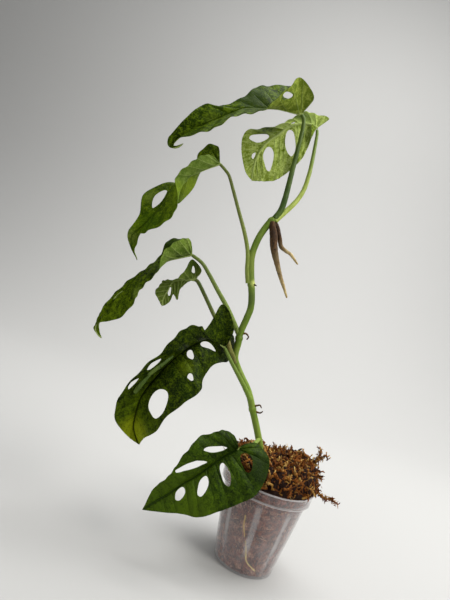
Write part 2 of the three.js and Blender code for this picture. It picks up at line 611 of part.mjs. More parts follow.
export default plant;
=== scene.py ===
import math
import bpy
import numpy as np
from mathutils import Matrix, Vector, noise


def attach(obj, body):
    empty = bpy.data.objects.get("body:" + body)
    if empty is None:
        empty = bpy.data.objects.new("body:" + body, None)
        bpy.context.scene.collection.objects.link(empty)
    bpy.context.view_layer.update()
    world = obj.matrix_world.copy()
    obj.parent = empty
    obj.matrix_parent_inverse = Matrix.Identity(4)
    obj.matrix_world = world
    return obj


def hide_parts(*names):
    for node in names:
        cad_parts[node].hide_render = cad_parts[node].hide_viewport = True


# A potted climbing aroid with mottled, holed leaves. Metres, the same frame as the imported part.
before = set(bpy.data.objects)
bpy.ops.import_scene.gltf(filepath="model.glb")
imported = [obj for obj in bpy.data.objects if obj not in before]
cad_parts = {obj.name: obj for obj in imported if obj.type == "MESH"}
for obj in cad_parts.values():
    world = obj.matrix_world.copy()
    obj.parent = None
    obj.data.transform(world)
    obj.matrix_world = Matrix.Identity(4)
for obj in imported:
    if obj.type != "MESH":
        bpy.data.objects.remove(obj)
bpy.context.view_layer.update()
print("frame loaded, nodes:", len(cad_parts))
mm = 0.001


# The camera, at the photograph's angle, and the plain studio round the plant
cameraLook = {
    "place": (-0.0877, -0.4144, 0.2132),
    "right": (0.9519, -0.0054, 0.3063),
    "up": (-0.3064, -0.0168, 0.9518),
    "lens": 27.04,
    "longSide": 36.0,
}
lightLook = {
    "key": {"place": (0.95, -0.75, 1.15), "aim": (-0.06, 0, 0.2), "size": 0.7, "power": 14,
            "colour": (1.0, 0.985, 0.94)},
    "top": {"place": (-0.35, 0.25, 1.35), "aim": (-0.08, 0, 0.25), "size": 0.8, "power": 4.5,
            "colour": (1.0, 1.0, 1.0)},
    "front": {"place": (-0.9, -1.2, 0.45), "aim": (-0.06, 0, 0.2), "size": 1.0, "power": 4.5,
              "colour": (0.98, 0.99, 1.0)},
    "wall": {"place": (0.5, 0.25, 1.7), "aim": (0.2, 1.5, 0.3), "size": 1.4, "power": 46,
             "colour": (1.0, 1.0, 0.99)},
}
worldLook = {"colour": (0.8, 0.81, 0.82), "strength": 0.26}
floorLook = {"front": -1.6, "bend": 0.7, "curve": 1.3, "height": 3.2, "width": 8.0, "steps": 24,
             "colour": (0.46, 0.457, 0.448)}


def placeCamera(look):
    data = bpy.data.cameras.new("camera")
    data.lens = look["lens"]
    data.sensor_width = look["longSide"]
    data.sensor_fit = "AUTO"
    data.clip_start = 0.01
    camera = bpy.data.objects.new("camera", data)
    right, up = Vector(look["right"]).normalized(), Vector(look["up"]).normalized()
    back = right.cross(up).normalized()
    turn = Matrix((right, back.cross(right), back)).transposed()
    camera.matrix_world = Matrix.Translation(look["place"]) @ turn.to_4x4()
    bpy.context.scene.collection.objects.link(camera)
    bpy.context.scene.camera = camera


def placeLight(name, look):
    data = bpy.data.lights.new(name, "AREA")
    data.shape = "DISK"
    data.size = look["size"]
    data.energy = look["power"]
    data.color = look["colour"]
    light = bpy.data.objects.new(name, data)
    place = Vector(look["place"])
    turn = (Vector(look["aim"]) - place).to_track_quat("-Z", "Y").to_matrix().to_4x4()
    light.matrix_world = Matrix.Translation(place) @ turn
    bpy.context.scene.collection.objects.link(light)


def makeObject(name, vertices, faces, material):
    mesh = bpy.data.meshes.new(name)
    mesh.from_pydata([tuple(v) for v in vertices], [], [tuple(f) for f in faces])
    mesh.validate()
    mesh.shade_smooth()
    mesh.materials.append(material)
    made = bpy.data.objects.new(name, mesh)
    bpy.context.scene.collection.objects.link(made)
    return made


def finish(piece, slot, *nodes):
    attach(piece, "root")
    if nodes:
        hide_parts(*nodes)
    return piece


def newMaterial(name):
    material = bpy.data.materials.new(name)
    material.use_nodes = True
    shader = material.node_tree.nodes["Principled BSDF"]
    return material, material.node_tree, shader


def floorMaterial():
    material, tree, shader = newMaterial("paleFloor")
    shader.inputs["Base Color"].default_value = (*floorLook["colour"], 1)
    shader.inputs["Roughness"].default_value = 0.9
    shader.inputs["Specular IOR Level"].default_value = 0.1
    return material


def placeFloor(look):  # the floor, which bends up into the wall behind the plant
    profile = [(look["front"], 0.0), (look["bend"], 0.0)]
    for step in range(1, look["steps"] + 1):
        angle = step / look["steps"] * math.pi / 2
        profile.append((look["bend"] + look["curve"] * math.sin(angle),
                        look["curve"] * (1 - math.cos(angle))))
    profile.append((look["bend"] + look["curve"], look["height"]))
    half = look["width"] / 2
    vertices = [(x, y, z) for y, z in profile for x in (-half, half)]
    faces = [(2 * i, 2 * i + 1, 2 * i + 3, 2 * i + 2) for i in range(len(profile) - 1)]
    floor = makeObject("floor", vertices, faces, floorMaterial())


bpy.context.scene.view_settings.view_transform = "Standard"
placeCamera(cameraLook)
for lightName, light in lightLook.items():
    placeLight(lightName, light)
world = bpy.data.worlds.new("softRoom")
bpy.context.scene.world = world
world.use_nodes = True
background = world.node_tree.nodes["Background"]
background.inputs["Color"].default_value = (*worldLook["colour"], 1)
background.inputs["Strength"].default_value = worldLook["strength"]
placeFloor(floorLook)
print("camera, light and floor placed")


# Short ways to write node trees
def tone(red, green, blue):  # a colour as a screen shows it, in linear light
    return tuple(((c + 0.055) / 1.055) ** 2.4 if c > 0.04 else c / 12.92 for c in (red, green, blue))


def addNode(tree, kind, values=None, **settings):
    node = tree.nodes.new(kind)
    for key, value in settings.items():
        setattr(node, key, value)
    for key, value in (values or {}).items():
        node.inputs[key].default_value = value
    return node


def join(tree, *pairs):
    for source, target in pairs:
        tree.links.new(source, target)


def feed(tree, socket, value):  # sets a number or a colour on the socket, or links an output to it
    if isinstance(value, (int, float)):
        socket.default_value = value
    elif isinstance(value, tuple):
        socket.default_value = (*value, 1)
    else:
        tree.links.new(value, socket)


def mathNode(tree, operation, *values):
    node = addNode(tree, "ShaderNodeMath", operation=operation)
    for socket, value in zip(node.inputs, values):
        feed(tree, socket, value)
    return node.outputs[0]


def times(tree, first, second):
    return mathNode(tree, "MULTIPLY", first, second)


def ramp(tree, value, low, high, start=0.0, end=1.0):  # a smooth step from start to end
    node = addNode(tree, "ShaderNodeMapRange", interpolation_type="SMOOTHSTEP")
    for label, number in (("Value", value), ("From Min", low), ("From Max", high), ("To Min", start),
                          ("To Max", end)):
        feed(tree, node.inputs[label], number)
    return node.outputs["Result"]


def mixColour(tree, factor, first, second):
    node = addNode(tree, "ShaderNodeMix", data_type="RGBA")
    for index, value in ((0, factor), (6, first), (7, second)):
        feed(tree, node.inputs[index], value)
    return node.outputs[2]


def layOver(tree, colour, mask, amount, other):  # another colour over this one, by a share of the mask
    return mixColour(tree, times(tree, mask, amount), colour, other)


def noiseNode(tree, vector, scale, detail=3.0, rough=0.55, seed=0.0, warp=0.0):
    node = addNode(tree, "ShaderNodeTexNoise", noise_dimensions="4D")
    for label, value in (("Vector", vector), ("Scale", scale), ("W", seed), ("Detail", detail),
                         ("Roughness", rough), ("Distortion", warp)):
        feed(tree, node.inputs[label], value)
    return node.outputs["Fac"]


def splitVector(tree, vector):  # its x, y and z
    node = addNode(tree, "ShaderNodeSeparateXYZ")
    join(tree, (vector, node.inputs[0]))
    return node.outputs


def newGroup(name, inputs, outputs):  # a group of numbers only: (label, value) inputs and outputs by label
    group = bpy.data.node_groups.new(name, "ShaderNodeTree")
    for label, value in inputs:
        socket = group.interface.new_socket(label, in_out="INPUT", socket_type="NodeSocketFloat")
        socket.default_value = value
    for label in outputs:
        group.interface.new_socket(label, in_out="OUTPUT", socket_type="NodeSocketFloat")
    entry = group.nodes.new("NodeGroupInput")
    leave = group.nodes.new("NodeGroupOutput")
    return group, entry.outputs, leave.inputs


def objectCoordinates(tree):
    return addNode(tree, "ShaderNodeTexCoord").outputs["Object"]


def readAttribute(tree, name):
    return addNode(tree, "ShaderNodeAttribute", attribute_name=name).outputs["Fac"]


def nearPlace(tree, place, reach):  # 1 near a place given in millimetres, fading to 0 at its reach
    away = addNode(tree, "ShaderNodeVectorMath", operation="DISTANCE")
    away.inputs[1].default_value = [c * mm for c in place]
    join(tree, (objectCoordinates(tree), away.inputs[0]))
    return ramp(tree, away.outputs["Value"], 0.25 * reach * mm, reach * mm, 1.0, 0.0)


def setShader(tree, shader, values, height, strength, distance):  # its inputs, and a bump from a height
    for label, value in values.items():
        feed(tree, shader.inputs[label], value)
    bump = addNode(tree, "ShaderNodeBump", {"Strength": strength, "Distance": distance})
    join(tree, (height, bump.inputs["Height"]), (bump.outputs[0], shader.inputs["Normal"]))


# A blade has two UV maps: "veins" holds (side veins passed, millimetres from one to the next), and "blade"
# holds (millimetres from the midrib, place along the edge from the stalk to the tip).
def bladeMaps(tree):
    return [splitVector(tree, addNode(tree, "ShaderNodeUVMap", uv_map=name).outputs[0])
            for name in ("veins", "blade")]


def makeVeinGroup():
    group, given, out = newGroup(
        "leafVeins", [("Side Width", 0.3), ("Rib Width", 0.8), ("Net Size", 260.0)],
        ["Side Veins", "Midrib", "Net", "Tipward"])
    veins, blade = bladeMaps(group)
    wobble = noiseNode(group, objectCoordinates(group), 160.0, 2.0)
    passed = mathNode(group, "ADD", veins[0], mathNode(group, "MULTIPLY_ADD", wobble, 0.24, -0.12))
    beyond = mathNode(group, "SUBTRACT", passed, mathNode(group, "ROUND", passed))
    distance = times(group, mathNode(group, "ABSOLUTE", beyond), veins[1])
    offRib = mathNode(group, "ABSOLUTE", blade[0])
    width = times(group, given["Side Width"], ramp(group, offRib, 0.0, 26.0, 1.0, 0.35))
    side = ramp(group, distance, width, times(group, width, 3.2), 1.0, 0.0)
    rib = ramp(group, offRib, given["Rib Width"], times(group, given["Rib Width"], 1.9), 1.0, 0.0)
    cells = addNode(group, "ShaderNodeTexVoronoi", feature="DISTANCE_TO_EDGE")
    join(group, (objectCoordinates(group), cells.inputs["Vector"]),
         (given["Net Size"], cells.inputs["Scale"]))
    net = ramp(group, cells.outputs["Distance"], 0.02, 0.16, 1.0, 0.0)
    join(group, (side, out["Side Veins"]), (rib, out["Midrib"]), (net, out["Net"]),
         (blade[1], out["Tipward"]))
    return group


# Marbled patches, drawn out along the side veins
def makeMarblingGroup():
    group, given, out = newGroup(
        "marbling",
        [("Seed", 0.0), ("Share", 0.5), ("Patch Size", 220.0), ("Streaks", 0.4), ("Softness", 0.12)],
        ["Patches", "Speckle", "Pits", "Shade"])
    place = objectCoordinates(group)
    seed, size = given["Seed"], given["Patch Size"]
    broad = noiseNode(group, place, times(group, size, 0.3), 2.0, 0.5, seed)
    patchy = noiseNode(group, place, size, 5.0, 0.68, seed, 0.5)
    fine = noiseNode(group, place, times(group, size, 4.0), 3.0, 0.65, seed)
    pits = noiseNode(group, place, times(group, size, 2.2), 3.0, 0.7, mathNode(group, "ADD", seed, 9.0))
    veins, blade = bladeMaps(group)
    drawn = addNode(group, "ShaderNodeCombineXYZ")
    join(group, (times(group, veins[0], 4.0), drawn.inputs[0]),
         (times(group, blade[0], 0.16), drawn.inputs[1]))
    streak = noiseNode(group, drawn.outputs[0], 1.0, 4.0, 0.65, seed, 0.6)
    even = mathNode(group, "SUBTRACT", 1.0, given["Streaks"])
    mixed = mathNode(group, "ADD", times(group, patchy, even), times(group, streak, given["Streaks"]))
    mixed = mathNode(group, "ADD", mixed, mathNode(group, "MULTIPLY_ADD", fine, 0.3, -0.15))
    level = mathNode(group, "MULTIPLY_ADD", given["Share"], -0.5, 0.75)
    patches = ramp(group, mixed, mathNode(group, "SUBTRACT", level, given["Softness"]),
                   mathNode(group, "ADD", level, given["Softness"]))
    join(group, (patches, out["Patches"]), (ramp(group, fine, 0.45, 0.65), out["Speckle"]),
         (ramp(group, pits, 0.48, 0.66), out["Pits"]), (ramp(group, broad, 0.35, 0.65), out["Shade"]))
    return group


veinGroup = makeVeinGroup()
marblingGroup = makeMarblingGroup()


# Leaf blades. "show" holds how strongly each layer of colour shows.
leafLook = {
    "roughUpper": 0.48, "roughUnder": 0.6, "gloss": 0.05, "ior": 1.3,
    "thickness": 0.55, "rows": 156, "columns": 24, "holeRings": 7,
    "pucker": 1.0, "frill": 0.7, "groove": 0.45, "keel": 0.9, "ribReach": 1.3, "veinSpacing": 0.07,
    "patchSize": 230.0, "underRib": tone(0.62, 0.68, 0.4), "bump": 0.6, "bumpDistance": 0.0006,
    "show": {"speckle": 0.3, "pits": 0.55, "veins": 0.25, "rib": 0.7, "underPatches": 0.75,
             "underPits": 0.7, "underNet": 0.18, "underVeins": 0.4, "underRib": 0.75},
}
# Colours are as seen in the photograph's light. Glow is how much larger the marbled share grows from
# glowFrom to the tip. A tint is [centre in millimetres, reach, colour, amount] of a place where that colour
# is laid over the blade's.
leafTones = [
    {"seed": 1.0, "gloss": 0.12, "share": 0.4, "glow": 0.35, "glowFrom": 0.4, "streaks": 0.5,
     "softness": 0.2,
     "dark": tone(0.035, 0.08, 0.01), "mid": tone(0.09, 0.16, 0.015), "light": tone(0.26, 0.35, 0.04),
     "rib": tone(0.1, 0.17, 0.04), "underDark": tone(0.3, 0.38, 0.1), "underLight": tone(0.4, 0.47, 0.15),
     "cream": tone(0.55, 0.6, 0.28),
     "tints": [[(-79, -58, 78), 26, tone(0.24, 0.32, 0.04), 0.6],
               [(-60, -62, 58), 22, tone(0.28, 0.36, 0.05), 0.65],
               [(-18, -48, 98), 20, tone(0.03, 0.08, 0.02), 0.8],
               [(-46, -46, 108), 14, tone(0.04, 0.1, 0.02), 0.6]]},
    {"seed": 2.0, "gloss": 0.08, "share": 0.34, "glow": 0.4, "glowFrom": 0.65, "streaks": 0.3,
     "softness": 0.16,
     "dark": tone(0.025, 0.07, 0.01), "mid": tone(0.07, 0.13, 0.01), "light": tone(0.3, 0.37, 0.03),
     "rib": tone(0.04, 0.07, 0.02), "underDark": tone(0.26, 0.34, 0.1),
     "underLight": tone(0.36, 0.43, 0.14), "cream": tone(0.5, 0.55, 0.24),
     "tints": [[(-101, -43, 157), 10, tone(0.34, 0.4, 0.05), 0.7],
               [(-126, -41, 92), 20, tone(0.52, 0.56, 0.07), 0.85],
               [(-112, -52, 132), 8, tone(0.3, 0.38, 0.04), 0.6]]},
    {"seed": 3.0, "share": 0.45, "glow": 0.0, "glowFrom": 0.7, "streaks": 0.4, "softness": 0.2,
     "dark": tone(0.13, 0.21, 0.03), "mid": tone(0.2, 0.28, 0.05), "light": tone(0.32, 0.4, 0.09),
     "rib": tone(0.3, 0.36, 0.1), "underDark": tone(0.25, 0.33, 0.1),
     "underLight": tone(0.36, 0.43, 0.16), "cream": tone(0.46, 0.52, 0.24),
     "tints": [[(-126, 4, 242), 13, tone(0.1, 0.18, 0.02), 0.85]]},
    {"seed": 4.0, "share": 0.42, "glow": 0.2, "glowFrom": 0.5, "streaks": 0.2, "softness": 0.12,
     "dark": tone(0.07, 0.13, 0.01), "mid": tone(0.16, 0.23, 0.02), "light": tone(0.36, 0.44, 0.05),
     "rib": tone(0.25, 0.32, 0.05), "underDark": tone(0.27, 0.36, 0.1),
     "underLight": tone(0.4, 0.48, 0.18), "cream": tone(0.5, 0.57, 0.28),
     "tints": [[(-161, -31, 203), 8, tone(0.46, 0.54, 0.2), 0.8],
               [(-151, 13, 254), 15, tone(0.05, 0.12, 0.01), 1.0]]},
    {"seed": 5.0, "share": 0.4, "glow": 0.0, "glowFrom": 0.7, "streaks": 0.3, "softness": 0.12,
     "dark": tone(0.13, 0.21, 0.01), "mid": tone(0.26, 0.35, 0.03), "light": tone(0.42, 0.5, 0.07),
     "rib": tone(0.22, 0.3, 0.05), "underDark": tone(0.28, 0.37, 0.11),
     "underLight": tone(0.38, 0.46, 0.18), "cream": tone(0.5, 0.57, 0.28),
     "tints": [[(-154, -25, 297), 15, tone(0.46, 0.55, 0.1), 0.8],
               [(-151, -1, 309), 17, tone(0.48, 0.56, 0.12), 0.9],
               [(-172, -25, 266), 17, tone(0.22, 0.33, 0.02), 0.8],
               [(-179, -12, 289), 11, tone(0.4, 0.47, 0.17), 0.8],
               [(-185, -20, 248), 11, tone(0.4, 0.45, 0.2), 0.7]]},
    {"seed": 6.0, "share": 0.52, "glow": 0.0, "glowFrom": 0.6, "streaks": 0.45, "softness": 0.1,
     "dark": tone(0.15, 0.22, 0.02), "mid": tone(0.25, 0.32, 0.04), "light": tone(0.45, 0.52, 0.15),
     "rib": tone(0.4, 0.46, 0.15), "underDark": tone(0.36, 0.44, 0.08),
     "underLight": tone(0.53, 0.6, 0.2), "cream": tone(0.74, 0.8, 0.46),
     "tints": [[(-103, 17, 389), 21, tone(0.14, 0.21, 0.01), 1.1],
               [(-70, 28, 414), 20, tone(0.24, 0.32, 0.04), 1.0]]},
    {"seed": 7.0, "share": 0.45, "glow": 0.0, "glowFrom": 0.6, "streaks": 0.2, "softness": 0.08,
     "dark": tone(0.08, 0.14, 0.01), "mid": tone(0.16, 0.23, 0.02), "light": tone(0.34, 0.42, 0.06),
     "rib": tone(0.2, 0.27, 0.04), "underDark": tone(0.32, 0.39, 0.1),
     "underLight": tone(0.41, 0.47, 0.15), "cream": tone(0.6, 0.65, 0.28),
     "tints": [[(-122, -2, 405), 26, tone(0.1, 0.17, 0.01), 0.9],
               [(-147, -20, 370), 11, tone(0.36, 0.43, 0.12), 0.6]]},
]


def leafMaterial(name, tones):
    material, tree, shader = newMaterial(name)
    show = leafLook["show"]
    veins = addNode(tree, "ShaderNodeGroup", node_tree=veinGroup).outputs
    marbling = addNode(tree, "ShaderNodeGroup", node_tree=marblingGroup)
    share = ramp(tree, veins["Tipward"], tones["glowFrom"], 1.0, tones["share"],
                 tones["share"] + tones["glow"])
    for label, value in (("Seed", tones["seed"]), ("Share", share), ("Patch Size", leafLook["patchSize"]),
                         ("Streaks", tones["streaks"]), ("Softness", tones["softness"])):
        feed(tree, marbling.inputs[label], value)
    marble = marbling.outputs
    upper = mixColour(tree, marble["Shade"], tones["dark"], tones["mid"])
    upper = mixColour(tree, marble["Patches"], upper, tones["light"])
    upper = layOver(tree, upper, marble["Speckle"], show["speckle"], tones["light"])
    upper = layOver(tree, upper, marble["Pits"], show["pits"], tones["dark"])
    upper = layOver(tree, upper, veins["Side Veins"], show["veins"], tones["mid"])
    under = mixColour(tree, marble["Shade"], tones["underDark"], tones["underLight"])
    under = layOver(tree, under, marble["Patches"], show["underPatches"], tones["cream"])
    under = layOver(tree, under, marble["Pits"], show["underPits"], tones["underDark"])
    under = layOver(tree, under, veins["Net"], show["underNet"], tones["underDark"])
    lines = mathNode(tree, "MAXIMUM", times(tree, veins["Side Veins"], show["underVeins"]), veins["Midrib"])
    under = layOver(tree, under, lines, show["underRib"], leafLook["underRib"])
    mottle = mathNode(tree, "MULTIPLY_ADD", marble["Patches"], 0.35, 0.65)
    mottle = mathNode(tree, "SUBTRACT", mottle, times(tree, marble["Pits"], 0.35))
    for place, reach, tint, amount in tones["tints"]:
        local = times(tree, times(tree, nearPlace(tree, place, reach), amount), mottle)
        upper = mixColour(tree, local, upper, tint)
        under = mixColour(tree, local, under, tint)
    upper = layOver(tree, upper, veins["Midrib"], show["rib"], tones["rib"])
    below = readAttribute(tree, "underside")
    rough = mathNode(tree, "MULTIPLY_ADD", below, leafLook["roughUnder"] - leafLook["roughUpper"],
                     leafLook["roughUpper"])
    rough = mathNode(tree, "ADD", rough, mathNode(tree, "MULTIPLY_ADD", marble["Speckle"], 0.12, -0.06))
    relief = mathNode(tree, "MAXIMUM", veins["Side Veins"], veins["Midrib"])
    relief = times(tree, relief, mathNode(tree, "MULTIPLY_ADD", below, 2.0, -1.0))
    relief = mathNode(tree, "ADD", relief, times(tree, veins["Net"], -0.25))
    relief = mathNode(tree, "ADD", relief, times(tree, marble["Speckle"], 0.2))
    values = {"Base Color": mixColour(tree, below, upper, under), "Roughness": rough,
              "IOR": leafLook["ior"], "Specular IOR Level": tones.get("gloss", leafLook["gloss"])}
    setShader(tree, shader, values, relief, leafLook["bump"], leafLook["bumpDistance"])
    return material


